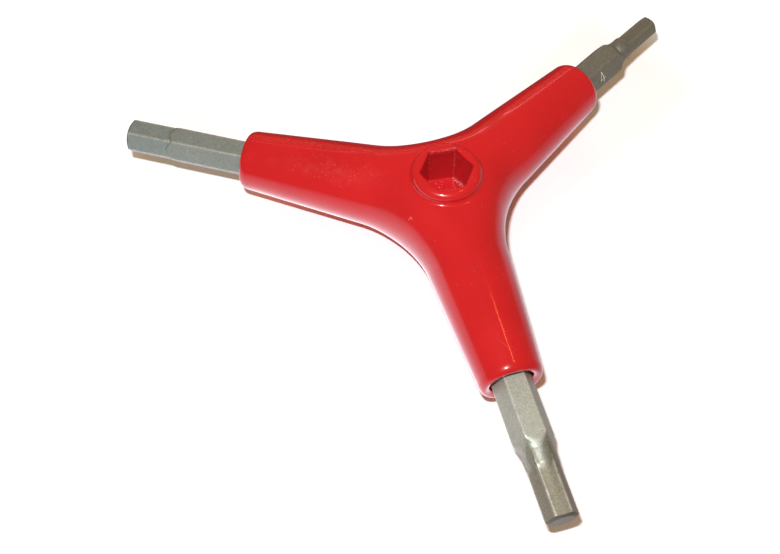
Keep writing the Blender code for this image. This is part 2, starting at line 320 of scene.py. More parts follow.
@dataclass(frozen=True)
class Ring:
    """One loop of the hub's middle.

    Args:
        radius: Distance from the hub's axis.
        height: Height over the arms' axes.
        hexagon: Share of the socket's hexagon in the loop's outline.
        follow: Share of the hub's own unevenness that the loop keeps.
    """

    radius: float
    height: float
    hexagon: float = 0.0
    follow: float = 0.0


@dataclass(frozen=True)
class RowCounts:
    """How finely a Y surface is divided.

    Args:
        lip: Rows on the rounding at an arm's end.
        straight: Rows on an arm's straight part.
        approach: Rows from there to the ring round the hub's middle.
        ring: Rows that end on the ring.
        columns: Faces along a row.
    """

    lip: int
    straight: int
    approach: int
    ring: int
    columns: int


def everything(bm: bmesh.types.BMesh) -> list:
    """All points, edges and faces of a mesh."""
    return bm.verts[:] + bm.edges[:] + bm.faces[:]


@dataclass(frozen=True)
class YSurface:
    """The surface of a Y form with its arms open at their ends and a socket in its hub.

    Args:
        form: The form.
        mouth: Points of (reach, radius) from inside an arm's mouth to the start of its lip.
        ring: Radius of the first loop of the hub's middle.
        middle: The following loops, down to the socket's floor.
        hexagon_width: Width of the socket over its flats.
        hexagon_round: Radius of the socket's corners.
        floor: Lowest height kept on the underside.
        counts: How finely the surface is divided.
        socket_turn: Turn of the socket's corners in the part's frame.
    """

    form: YForm
    mouth: list[Pair]
    ring: float
    middle: list[Ring]
    hexagon_width: float
    hexagon_round: float
    floor: float
    counts: RowCounts
    socket_turn: float

    def stations(self) -> list[Station]:
        """All rows of a half arm, from inside its mouth to the middle of the crotch."""
        form = self.form
        counts = self.counts
        rows = [form.round_station(*point) for point in self.mouth]
        lip_start = form.end_reach - form.lip_length
        for step in range(counts.lip):
            angle = QUARTER_TURN * (1.0 - step / counts.lip)
            radius = form.radius(lip_start) - form.lip_drop * (1.0 - cos(angle))
            rows.append(form.round_station(lip_start + form.lip_length * sin(angle), radius))
        tangent = form.side(0.0)[0]
        for step in range(counts.straight):
            rows.append(form.straight_station(lip_start + step / counts.straight * (tangent - lip_start)))
        for step in range(counts.approach):
            reach = tangent + step / counts.approach * (self.ring - tangent)
            share = solve(lambda s, r=reach: r - form.ridge(s), 0.0, 1.0)
            rows.append(form.crotch_station(share, self.ring))
        last = solve(lambda s: self.ring - form.ridge(s), 0.0, 1.0)
        for step in range(counts.ring + 1):
            angle = HALF_PITCH * step / counts.ring
            share = 1.0
            if step < counts.ring:
                share = solve(lambda s, a=angle: form.ring_angle(s, self.ring) - a, last, 1.0)
            rows.append(form.crotch_station(share, self.ring))
        return rows

    def half(self) -> bmesh.types.BMesh:
        """The upper side of all three arms, open at the ring, the mouths and the outline."""
        rows = self.stations()
        columns = self.counts.columns
        bm = bmesh.new()
        bmesh.ops.create_grid(bm, x_segments=len(rows) - 1, y_segments=columns, size=1.0)
        for vertex in bm.verts:
            row = round((vertex.co.x + 1.0) / 2.0 * (len(rows) - 1))
            column = round((vertex.co.y + 1.0) / 2.0 * columns)
            vertex.co = rows[row].place(column / columns)
        bmesh.ops.remove_doubles(bm, verts=bm.verts, dist=MERGE_DISTANCE)
        bmesh.ops.mirror(bm, geom=everything(bm), merge_dist=MERGE_DISTANCE, axis="Y")
        bmesh.ops.rotate(bm, verts=bm.verts, matrix=Matrix.Rotation(Arm.FOUR.turn, 3, "Z"))
        bmesh.ops.spin(
            bm,
            geom=everything(bm),
            axis=(0.0, 0.0, 1.0),
            angle=ARM_PITCH * (ARM_COUNT - 1),
            steps=ARM_COUNT - 1,
            use_duplicate=True,
        )
        bmesh.ops.remove_doubles(bm, verts=bm.verts, dist=MERGE_DISTANCE)
        return bm

    def ring_edges(self, bm: bmesh.types.BMesh, upper: bool) -> list:
        """Edges of the open loop round the hub's axis, on the upper or the lower side."""
        slack = 10.0 * MERGE_DISTANCE
        return [
            edge
            for edge in bm.edges
            if edge.is_boundary
            and all(abs(v.co.xy.length - self.ring) < slack and (v.co.z > 0.0) == upper for v in edge.verts)
        ]

    def mesh(self) -> bmesh.types.BMesh:
        """The whole surface, open only at the innermost loop of each mouth."""
        bm = self.half()
        copy = bmesh.ops.duplicate(bm, geom=everything(bm))["geom"]
        under = [item for item in copy if isinstance(item, bmesh.types.BMVert)]
        bmesh.ops.scale(bm, verts=under, vec=(1.0, 1.0, -1.0))
        for vertex in under:
            vertex.co.z = max(vertex.co.z, self.floor)
        bmesh.ops.edgeloop_fill(bm, edges=self.ring_edges(bm, upper=False))
        loop = self.ring_edges(bm, upper=True)
        verts = {vertex for edge in loop for vertex in edge.verts}
        uneven = {self.key(v.co): v.co.z for v in verts}
        for ring in self.middle:
            made = bmesh.ops.extrude_edge_only(bm, edges=loop)["geom"]
            verts = [item for item in made if isinstance(item, bmesh.types.BMVert)]
            new = set(verts)
            loop = [
                item for item in made if isinstance(item, bmesh.types.BMEdge) and new.issuperset(item.verts)
            ]
            for vertex in verts:
                vertex.co = self.on_ring(vertex.co, ring, uneven[self.key(vertex.co)])
        bmesh.ops.edgeloop_fill(bm, edges=loop)
        bmesh.ops.remove_doubles(bm, verts=bm.verts, dist=MERGE_DISTANCE)
        bmesh.ops.recalc_face_normals(bm, faces=bm.faces)
        return bm

    def key(self, place: Vector) -> int:
        """A whole number for the direction of a point from the hub's axis."""
        return round(atan2(place.y, place.x) / (2.0 * pi) * DIRECTIONS) % DIRECTIONS

    def on_ring(self, place: Vector, ring: Ring, foot: float) -> Vector:
        """Where a point moves to on a loop, given the height of the first loop in its direction."""
        angle = atan2(place.y, place.x)
        radius = ring.radius
        if ring.hexagon:
            outline = hexagon_radius(angle - self.socket_turn, self.hexagon_width, self.hexagon_round)
            radius += ring.hexagon * (outline - radius)
        height = ring.height + ring.follow * (foot - self.form.hub_height)
        return Vector((radius * cos(angle), radius * sin(angle), height))


def finish_mesh(name: str, bm: bmesh.types.BMesh, sharp: float = SMOOTH_ANGLE) -> bpy.types.Object:
    """Makes an object from a bmesh, shaded smooth between its sharp edges.

    Args:
        name: The piece's name.
        bm: Its mesh, which is freed.
        sharp: Angle from which an edge is sharp.

    Returns:
        The object, at the origin.
    """
    mesh = bpy.data.meshes.new(name)
    bm.to_mesh(mesh)
    bm.free()
    mesh.shade_smooth()
    mesh.set_sharp_from_angle(angle=sharp)
    obj = bpy.data.objects.new(name, mesh)
    bpy.context.scene.collection.objects.link(obj)
    return obj


# Shader graphs


class Link:
    """A shader value that Python's arithmetic works on."""

    def __init__(self, graph: Graph, socket: bpy.types.NodeSocket) -> None:
        """Wraps an output socket of a graph."""
        self.graph = graph
        self.socket = socket

    def __add__(self, other: Link | float) -> Link:
        """Sum."""
        return self.graph.math("ADD", self, other)

    __radd__ = __add__

    def __mul__(self, other: Link | float) -> Link:
        """Product."""
        return self.graph.math("MULTIPLY", self, other)

    __rmul__ = __mul__

    def __sub__(self, other: Link | float) -> Link:
        """Difference."""
        return self.graph.math("SUBTRACT", self, other)

    def __rsub__(self, other: float) -> Link:
        """Difference from a number."""
        return self.graph.math("SUBTRACT", other, self)

    def __truediv__(self, other: Link | float) -> Link:
        """Quotient."""
        return self.graph.math("DIVIDE", self, other)

    def __pow__(self, other: float) -> Link:
        """Power."""
        return self.graph.math("POWER", self, other)

    def __gt__(self, other: Link | float) -> Link:
        """1 where the value is larger, else 0."""
        return self.graph.math("GREATER_THAN", self, other)

    def __abs__(self) -> Link:
        """The value without its sign."""
        return self.graph.math("ABSOLUTE", self)

    def most(self, other: Link | float) -> Link:
        """The larger of two values."""
        return self.graph.math("MAXIMUM", self, other)


@dataclass
class Graph:
    """The nodes of one material.

    Args:
        name: The material's name.
        material: The material.
        tree: Its nodes and links.
    """

    name: str
    material: bpy.types.Material = field(init=False)
    tree: bpy.types.NodeTree = field(init=False)

    def __post_init__(self) -> None:
        """Starts an empty material."""
        self.material = bpy.data.materials.new(self.name)
        self.material.use_nodes = True
        self.tree = self.material.node_tree
        self.tree.nodes.clear()

    def add(self, kind: str, settings: dict | None = None, **inputs: object) -> bpy.types.Node:
        """Adds a node.

        Args:
            kind: Its type.
            settings: What is set on the node itself, before its sockets.
            inputs: Values or links for its sockets, by name, with _ for a space, or by number after a _.

        Returns:
            The node.
        """
        node = self.tree.nodes.new(kind)
        for name, value in (settings or {}).items():
            setattr(node, name, value)
        for name, value in inputs.items():
            key = int(name[1:]) if name[0] == "_" else name.replace("_", " ")
            self.feed(node.inputs[key], value)
        return node

    def feed(self, socket: bpy.types.NodeSocket, value: object) -> None:
        """Links a value into a socket or sets it there."""
        if isinstance(value, Link):
            self.tree.links.new(value.socket, socket)
        else:
            socket.default_value = value

    def link(self, node: bpy.types.Node, output: int | str = 0) -> Link:
        """One output of a node."""
        return Link(self, node.outputs[output])

    def math(self, operation: str, first: Link | float, second: Link | float = 0.0) -> Link:
        """A Math node on one or two values."""
        return self.link(self.add("ShaderNodeMath", {"operation": operation}, _0=first, _1=second))

    def place(self) -> Link:
        """Object coordinates, in metres."""
        return self.link(self.add("ShaderNodeTexCoord"), "Object")

    def axes(self, place: Link) -> list[Link]:
        """The three coordinates of a place."""
        parts = self.add("ShaderNodeSeparateXYZ", Vector=place)
        return [self.link(parts, name) for name in "XYZ"]

    def attribute(self, name: str) -> Link:
        """A number stored on the mesh's points."""
        return self.link(self.add("ShaderNodeAttribute", {"attribute_name": name}), "Fac")

    def ramp(self, value: Link, low: float, high: float) -> Link:
        """Maps a value smoothly from 0 at low to 1 at high, either way round."""
        settings = {"interpolation_type": "SMOOTHSTEP", "clamp": True}
        ends = {"From_Min": low, "From_Max": high, "To_Min": 0.0, "To_Max": 1.0}
        return self.link(self.add("ShaderNodeMapRange", settings, Value=value, **ends))

    def mix(self, factor: Link | float, first: object, second: object) -> Link:
        """A mix of two colours."""
        settings = {"data_type": "RGBA", "blend_type": "MIX"}
        return self.link(self.add("ShaderNodeMix", settings, _0=factor, _6=first, _7=second), 2)

    def bump(self, height: Link, depth: float, below: Link | None = None) -> Link:
        """A normal raised by a height map.

        Args:
            height: The map, from 0 to 1.
            depth: What 1 stands for, in metres.
            below: Normal of a coarser layer.

        Returns:
            The new normal.
        """
        node = self.add("ShaderNodeBump", Strength=1.0, Distance=depth, Height=height)
        if below is not None:
            self.feed(node.inputs["Normal"], below)
        return self.link(node)

    def glow(self, colour: Colour, strength: Link | float = 1.0) -> Link:
        """A shader that gives off light."""
        return self.link(self.add("ShaderNodeEmission", Color=colour, Strength=strength))

    def close(self, shader: Link) -> bpy.types.Material:
        """Ends the material in a shader and returns it."""
        self.add("ShaderNodeOutputMaterial", Surface=shader)
        return self.material

    def shade(self, **inputs: object) -> bpy.types.Material:
        """Ends the material in one Principled shader.

        Args:
            inputs: Values or links for its sockets, by name.

        Returns:
            The material.
        """
        return self.close(self.link(self.add("ShaderNodeBsdfPrincipled", **inputs)))


def toward(x: Link, y: Link, turn: float) -> Link:
    """How far a place lies from the origin in the direction of a turn from +X."""
    return x * cos(turn) + y * sin(turn)


def from_origin(x: Link, y: Link) -> Link:
    """How far a place lies from the origin."""
    return (x * x + y * y) ** 0.5


# Patterns


@dataclass(frozen=True)
class Cloud:
    """Soft noise.

    Args:
        size: Size of a feature.
        detail: Number of finer layers.
        fineness: Strength of each finer layer.
        span: Noise at which its mask starts, and from which it is full.
    """

    size: float
    detail: float = 2.0
    fineness: float = 0.5
    span: Pair = (0.4, 0.6)

    def noise(self, graph: Graph, place: Link) -> Link:
        """The noise itself, about 0.5."""
        look = {"Scale": 1.0 / self.size, "Detail": self.detail, "Roughness": self.fineness}
        return graph.link(graph.add("ShaderNodeTexNoise", Vector=place, **look))

    def mask(self, graph: Graph, place: Link) -> Link:
        """0 under the span, 1 over it."""
        return graph.ramp(self.noise(graph, place), *self.span)


@dataclass(frozen=True)
class Specks:
    """Small round specks strewn over the surface.

    Args:
        spacing: Mean distance between the cells that may hold one.
        radius: Radius of a speck.
        keep_share: Share of the cells that hold one.
        full_share: Share of its radius within which a speck is full.
    """

    spacing: float
    radius: float
    keep_share: float
    full_share: float = 0.35

    def mask(self, graph: Graph, place: Link) -> Link:
        """1 inside a speck, 0 outside."""
        cells = graph.add("ShaderNodeTexVoronoi", {"feature": "F1"}, Vector=place, Scale=1.0 / self.spacing)
        chance = graph.link(graph.add("ShaderNodeSeparateColor", Color=graph.link(cells, "Color")))
        edge = self.radius / self.spacing
        inside = graph.ramp(graph.link(cells, "Distance"), edge, self.full_share * edge)
        return inside * (chance > 1.0 - self.keep_share)


@dataclass(frozen=True)
class Scratches:
    """Fine straight scratches that cross each other.

    Args:
        length: Length of a scratch.
        gap: Mean gap between two of them.
        turns: The two directions in which they run.
        line: Noise that is stretched along each direction, with its crests as the scratches.
    """

    length: float = 0.012
    gap: float = 0.00072
    turns: Pair = (radians(25), radians(118))
    line: Cloud = Cloud(1.0, 1.0, 0.5, (0.70, 0.76))

    def mask(self, graph: Graph, place: Link) -> Link:
        """1 on a scratch, 0 beside it."""
        lines = []
        for turn in self.turns:
            shape = {"Rotation": (0.0, 0.0, turn), "Scale": (self.length, self.gap, self.gap)}
            node = graph.add("ShaderNodeMapping", {"vector_type": "TEXTURE"}, Vector=place, **shape)
            lines.append(self.line.mask(graph, graph.link(node)))
        return lines[0].most(lines[1])


@dataclass(frozen=True)
class Chip:
    """The small chip in the skin between two arms, as two strokes that meet.

    Args:
        at: Where the strokes meet.
        turn: Direction from one stroke to the other.
        reach: How far each stroke runs sideways.
        full_share: Share of that reach over which the stroke is full.
        slope: How steeply the strokes fall away from each other.
        line: Half the width of a stroke.
        top: Height from which the chip is full, so that none is on the underside.
    """

    at: Pair = (-0.00838, -0.00573)
    turn: float = radians(-32)
    reach: float = 0.00036
    full_share: float = 0.8
    slope: float = 1.1
    line: float = 0.00005
    top: float = 0.0087

    def mask(self, graph: Graph, place: Link) -> Link:
        """1 on the strokes, 0 beside them."""
        x, y, z = graph.axes(place)
        x = x - self.at[0]
        y = y - self.at[1]
        across = abs(toward(x, y, self.turn))
        up = toward(x, y, self.turn + QUARTER_TURN) + across * self.slope
        line = graph.ramp(abs(up), 2.0 * self.line, self.line)
        side = graph.ramp(across, self.reach, self.reach * self.full_share)
        return line * side * graph.ramp(z, 0.0, self.top)


@dataclass(frozen=True)
class DustyPatch:
    """The long dusty patch on the arm of the 6 mm tip.

    Args:
        at: Its middle.
        reach: Half its length.
        width_share: Its width as a share of its length.
        full_share: Share of its size within which it is full.
    """

    at: Pair = (-0.0185, 0.0078)
    reach: float = 0.013
    width_share: float = 0.28
    full_share: float = 0.3

    def mask(self, graph: Graph, place: Link) -> Link:
        """1 in the middle of the patch, falling to 0 round it."""
        x, y, _ = graph.axes(place)
        x = x - self.at[0]
        y = y - self.at[1]
        along = toward(x, y, Arm.SIX.turn)
        across = toward(x, y, Arm.SIX.turn + QUARTER_TURN) / self.width_share
        return graph.ramp(from_origin(along, across), self.reach, self.reach * self.full_share)


@dataclass(frozen=True)
class SocketGritAndHighlight:
    """The dust in the socket, thick in its far corner, along the foot of one wall and on the rim of another,
    where the line is partly a painted highlight of the rounded lip.

    Args:
        reach: Radius of the socket with its rim.
        full_share: Share of that radius within which the dust is full.
        floor_height: Height of the socket's floor.
        floor_fade: Height over the floor at which the floor's dust ends.
        wall: Distance of the socket's walls from the hub's axis.
        foot_turn: Direction of the wall with dust along its foot.
        rim_turn: Direction of the wall with dust and a painted highlight on its rim.
        left_turn: Direction of the wall with thin dust all over.
        corner_turn: Direction of the far corner.
        foot_span: Distances from the wall at which the dust at its foot ends and is full.
        rim_span: The same for the rim.
        rim_heights: Heights at which the rim's dust starts and is full.
        left_span: Distances from the hub's axis at which the left wall's dust starts and is full.
        corner_span: Distances from the corner at which its dust ends and is full.
        far_span: Distances from the hub's axis at which the corner's dust starts and is full.
        thin: Single grains.
        thick: Lumps, along the lines.
        floor_share: Share of the thin dust on the floor.
        left_share: Share of it on the left wall.
        wall_share: Share of it everywhere.
        corner_share: Share of the thick dust in the corner.
        rim_dust_and_highlight_share: Share of it on the rim, where it also paints the lip's highlight.
    """

    reach: float = 0.0050
    full_share: float = 0.96
    floor_height: float = 0.0087
    floor_fade: float = 0.0012
    wall: float = 0.0043
    foot_turn: float = radians(24)
    rim_turn: float = radians(84)
    left_turn: float = radians(144)
    corner_turn: float = radians(54)
    foot_span: Pair = (0.00024, 0.00009)
    rim_span: Pair = (0.00018, 0.00007)
    rim_heights: Pair = (0.0165, 0.0170)
    left_span: Pair = (0.0038, 0.0042)
    corner_span: Pair = (0.00022, 0.00008)
    far_span: Pair = (0.0035, 0.0042)
    thin: Specks = Specks(0.00036, 0.00010, 0.24)
    thick: Cloud = Cloud(0.00024, span=(0.52, 0.58))
    floor_share: float = 0.8
    left_share: float = 0.6
    wall_share: float = 0.25
    corner_share: float = 0.45
    rim_dust_and_highlight_share: float = 0.35

    def mask(self, graph: Graph, place: Link) -> Link:
        """How thickly the dust lies, from 0 to 1."""
        x, y, z = graph.axes(place)
        socket = graph.ramp(from_origin(x, y), self.reach, self.reach * self.full_share)
        low = graph.ramp(z, self.floor_height + self.floor_fade, self.floor_height)
        corner = graph.ramp(abs(toward(x, y, self.corner_turn + QUARTER_TURN)), *self.corner_span)
        corner = corner * graph.ramp(toward(x, y, self.corner_turn), *self.far_span) * (1.0 - low)
        foot = graph.ramp(self.wall - toward(x, y, self.foot_turn), *self.foot_span) * low
        # dust along one wall's rim, partly a painted highlight where the rounded lip would catch the flash
        rim = graph.ramp(abs(self.wall - toward(x, y, self.rim_turn)), *self.rim_span)
        rim = rim * graph.ramp(z, *self.rim_heights)
        left = graph.ramp(toward(x, y, self.left_turn), *self.left_span)
        lines = (corner * self.corner_share).most(foot).most(rim * self.rim_dust_and_highlight_share)
        spread = low * self.floor_share + left * self.left_share + self.wall_share
        return (self.thin.mask(graph, place) * spread + self.thick.mask(graph, place) * lines) * socket


# Finishes


@dataclass(frozen=True)
class DippedRed:
    """The glossy red skin, with dust, fine scratches, a hazy patch or two, a small chip and a painted
    highlight on the socket's rim.

    Args:
        name: The material's name.
        colour: The clean skin.
        deep: The skin where it is a little thicker.
        dust: Dust on it.
        socket_dust_and_highlight: The dust that gathers in the socket, also the colour of the painted
            highlight on its rim.
        chip_colour: The bare spot in the chip.
        roughness: Roughness where the skin is clean.
        dull: Roughness where it is rubbed.
        scratched: Roughness that a scratch adds.
        specular: Strength of the gloss under the clear coat.
        coat: Strength of the clear coat.
        coat_roughness: Its roughness.
        thicker: Where the skin is thicker.
        rubbed: Where it is rubbed and holds fine dust and scratches.
        film: Uneven film of dust in the long patch.
        haze: Where the gloss is dull.
        waves: The slow waves of a dipped surface.
        specks: Single specks of dust.
        fine: Fine dust.
        scratches: The scratches.
        patch: The long dusty patch.
        chip: The chip.
        grit_and_highlight: The dust in the socket, with the painted highlight on its rim.
        film_share: How strongly the film colours the skin.
        speck_share: How strongly a speck does.
        fine_share: How strongly the fine dust does.
        grit_and_highlight_share: How strongly the socket's dust and painted rim highlight do.
        rubbed_share: Share of the fine dust that a rubbed area holds.
        wave_depth: Depth of the waves.
        dust_depth: Height of a speck.
        fine_rise_share: Height of the fine dust as a share of a speck's.
        scratch_share: Depth of a scratch as a share of a speck's height.
    """

    name: str = "dipped_red"
    colour: Colour = (0.560, 0.0130, 0.0175, 1.0)
    deep: Colour = (0.510, 0.0105, 0.0145, 1.0)
    dust: Colour = (0.82, 0.24, 0.25, 1.0)
    socket_dust_and_highlight: Colour = (0.84, 0.42, 0.46, 1.0)
    chip_colour: Colour = (0.72, 0.20, 0.18, 1.0)
    roughness: float = 0.24
    dull: float = 0.34
    scratched: float = 0.15
    specular: float = 0.25
    coat: float = 0.85
    coat_roughness: float = 0.06
    thicker: Cloud = Cloud(0.012, 3.0, span=(0.35, 0.68))
    rubbed: Cloud = Cloud(0.014, span=(0.46, 0.62))
    film: Cloud = Cloud(0.0022, 4.0, 0.7, (0.46, 0.66))
    haze: Cloud = Cloud(0.006, 4.0, 0.65, (0.50, 0.72))
    waves: Cloud = Cloud(0.0030, 1.0)
    specks: Specks = Specks(0.0011, 0.00011, 0.28)
    fine: Specks = Specks(0.00042, 0.00008, 0.35)
    scratches: Scratches = Scratches()
    patch: DustyPatch = DustyPatch()
    chip: Chip = Chip()
    grit_and_highlight: SocketGritAndHighlight = SocketGritAndHighlight()
    film_share: float = 0.05
    speck_share: float = 0.42
    fine_share: float = 0.90
    grit_and_highlight_share: float = 0.85
    rubbed_share: float = 0.5
    wave_depth: float = 0.00003
    dust_depth: float = 0.00005
    fine_rise_share: float = 0.5
    scratch_share: float = 0.3

    def make(self) -> bpy.types.Material:
        """Builds the material."""
        graph = Graph(self.name)
        place = graph.place()
        rubbed = self.rubbed.mask(graph, place)
        dusty = self.patch.mask(graph, place)
        specks = self.specks.mask(graph, place)
        fine = self.fine.mask(graph, place) * (rubbed * self.rubbed_share).most(dusty)
        film = self.film.mask(graph, place) * dusty
        grit_and_highlight = self.grit_and_highlight.mask(graph, place)
        scratches = self.scratches.mask(graph, place) * rubbed
        colour = graph.mix(self.thicker.mask(graph, place), self.colour, self.deep)
        for amount, over in (
            (film * self.film_share + specks * self.speck_share, self.dust),
            (fine * self.fine_share, self.dust),
            (self.chip.mask(graph, place), self.chip_colour),
            # the socket's dust, with the painted highlight on its rim
            (grit_and_highlight * self.grit_and_highlight_share, self.socket_dust_and_highlight),
        ):
            colour = graph.mix(amount, colour, over)
        haze = self.haze.mask(graph, place)
        roughness = self.roughness + haze * (self.dull - self.roughness) + scratches * self.scratched
        waves = graph.bump(self.waves.noise(graph, place), self.wave_depth)
        rise = specks + fine * self.fine_rise_share + grit_and_highlight - scratches * self.scratch_share
        return graph.shade(
            Base_Color=colour,
            Roughness=roughness,
            Normal=graph.bump(rise, self.dust_depth, waves),
            Specular_IOR_Level=self.specular,
            Coat_Weight=self.coat,
            Coat_Roughness=self.coat_roughness,
        )


class Zone(float, Enum):
    """The zones along a bit, as its swage attribute numbers them."""

    SHANK = 0.0
    NECK = 1.0
    TIP = 2.0
    CHAMFER = 3.0
    END = 4.0


@dataclass(frozen=True)
class BlastedSteel:
    """The satin grey steel of a bit.

    Args:
        name: The material's name.
        colour: The blasted steel of the shank.
        tip: The steel of the tip.
        dark_share: Brightness of the darker grains.
        neck_share: Brightness of the swaged neck, which is painted darker; where the step to the tip is
            short this is painted shade along the step.
        end_share: Brightness of the chamfer at the end.
        end: The flat face at the end.
        bright: Where it is rubbed bare.
        cut: The fresh metal of a number cut into it, painted light also to stand in for the highlight on the
            strokes' edges.
        roughness: Roughness of the blasted steel.
        polished: Roughness where it is rubbed bare.
        neck_roughness: Roughness of the swaged neck.
        grain_roughness: How much the roughness varies from grain to grain.
        metallic: Share of bare metal.
        grain: The grain of the blasting.
        blotch: Blotches of a few grains.
        cloud: Soft clouds.
        tone_shares: Shares of the grain, the blotches and the clouds in the tone.
        tone_span: Tones at which the steel is light and dark.
        rub_share: Share of the grain in the pattern of the rubbed spots.
        rub_span: Where that pattern starts and is full.
        rubbed_share: How much brighter a rubbed spot on a corner is.
        worn_share: How much brighter the whole corner is.
        cut_span: Wear from which a point counts as cut.
        grain_depth: Depth of the grain.
        blotch_depth: Depth of the blotches.
        smooth_share: Share of the grain that the swaging presses flat.
    """

    name: str
    colour: Colour = (0.49, 0.53, 0.465, 1.0)
    tip: Colour = (0.29, 0.285, 0.22, 1.0)
    dark_share: float = 0.76
    neck_share: float = 0.78
    end_share: float = 0.55
    end: Colour = (0.80, 0.83, 0.76, 1.0)
    bright: Colour = (0.74, 0.73, 0.66, 1.0)
    cut: Colour = (0.80, 0.79, 0.74, 1.0)
    roughness: float = 0.56
    polished: float = 0.40
    neck_roughness: float = 0.45
    grain_roughness: float = 0.16
    metallic: float = 0.66
    grain: Cloud = Cloud(0.00022, 2.0, 0.6)
    blotch: Cloud = Cloud(0.0010, 3.0, 0.6)
    cloud: Cloud = Cloud(0.0042)
    tone_shares: tuple[float, float, float] = (0.72, 0.16, 0.12)
    tone_span: Pair = (0.58, 0.40)
    rub_share: float = 0.6
    rub_span: Pair = (0.62, 0.92)
    rubbed_share: float = 0.5
    worn_share: float = 0.35
    cut_span: Pair = (1.1, 1.7)
    grain_depth: float = 0.000032
    blotch_depth: float = 0.00001
    smooth_share: float = 0.8

    def make(self) -> bpy.types.Material:
        """Builds the material, which reads the piece's own wear and swage attributes."""
        graph = Graph(self.name)
        place = graph.place()
        wear = graph.attribute("wear")
        swage = graph.attribute("swage")
        neck = graph.ramp(swage, Zone.SHANK, Zone.NECK) * graph.ramp(swage, Zone.TIP, Zone.NECK)
        grain, blotch, cloud = (layer.noise(graph, place) for layer in (self.grain, self.blotch, self.cloud))
        tone = grain * self.tone_shares[0] + blotch * self.tone_shares[1] + cloud * self.tone_shares[2]
        colour = graph.mix(graph.ramp(swage, Zone.NECK, Zone.TIP), self.colour, self.tip)
        for amount, share in (
            (graph.ramp(tone, *self.tone_span), self.dark_share),
            # darker neck; on the 6 mm bit a painted shade line along the step to the tip
            (neck, self.neck_share),
            (graph.ramp(swage, Zone.TIP, Zone.CHAMFER), self.end_share),
        ):
            colour = graph.mix(amount * (1.0 - share), colour, BLACK)
        rubbed = wear * graph.ramp(blotch + grain * self.rub_share, *self.rub_span)
        cut = graph.ramp(wear, *self.cut_span)
        for amount, over in (
            (graph.ramp(swage, Zone.CHAMFER, Zone.END), self.end),
            (rubbed * self.rubbed_share + wear * self.worn_share, self.bright),
            # the number's fresh metal, painted light also as the highlight on its strokes
            (cut, self.cut),
        ):
            colour = graph.mix(amount, colour, over)
        roughness = self.roughness + (grain - 0.5) * self.grain_roughness
        roughness = roughness - wear * (self.roughness - self.polished)
        roughness = roughness - neck * (self.roughness - self.neck_roughness)
        blotches = graph.bump(blotch, self.blotch_depth)
        return graph.shade(
            Base_Color=colour,
            Metallic=self.metallic * (1.0 - cut),
            Roughness=roughness,
            Normal=graph.bump(grain * (1.0 - neck * self.smooth_share), self.grain_depth, blotches),
        )


@dataclass(frozen=True)
class CastCore:
    """The rough casting inside the skin.

    Args:
        name: The material's name.
        colour: The bare casting.
        rust: Where it has rusted.
        metallic: Share of bare metal.
        roughness: Roughness of its smoothest grains.
        grain_roughness: How much rougher the others are.
        grain: The grain of the casting.
        grain_depth: Depth of the grain.
        rusty: Where the rust lies.
    """

    name: str = "cast_core"
    colour: Colour = (0.10, 0.085, 0.08, 1.0)
    rust: Colour = (0.20, 0.045, 0.035, 1.0)
    metallic: float = 0.6
    roughness: float = 0.45
    grain_roughness: float = 0.3
    grain: Cloud = Cloud(0.0006, 4.0, 0.6)
    grain_depth: float = 0.00008
    rusty: Cloud = Cloud(0.004, 3.0, span=(0.4, 0.65))

    def make(self) -> bpy.types.Material:
        """Builds the material."""
        graph = Graph(self.name)
        place = graph.place()
        grain = self.grain.noise(graph, place)
        return graph.shade(
            Base_Color=graph.mix(self.rusty.mask(graph, place), self.colour, self.rust),
            Metallic=self.metallic,
            Roughness=self.roughness + grain * self.grain_roughness,
            Normal=graph.bump(grain, self.grain_depth),
        )


# Pieces


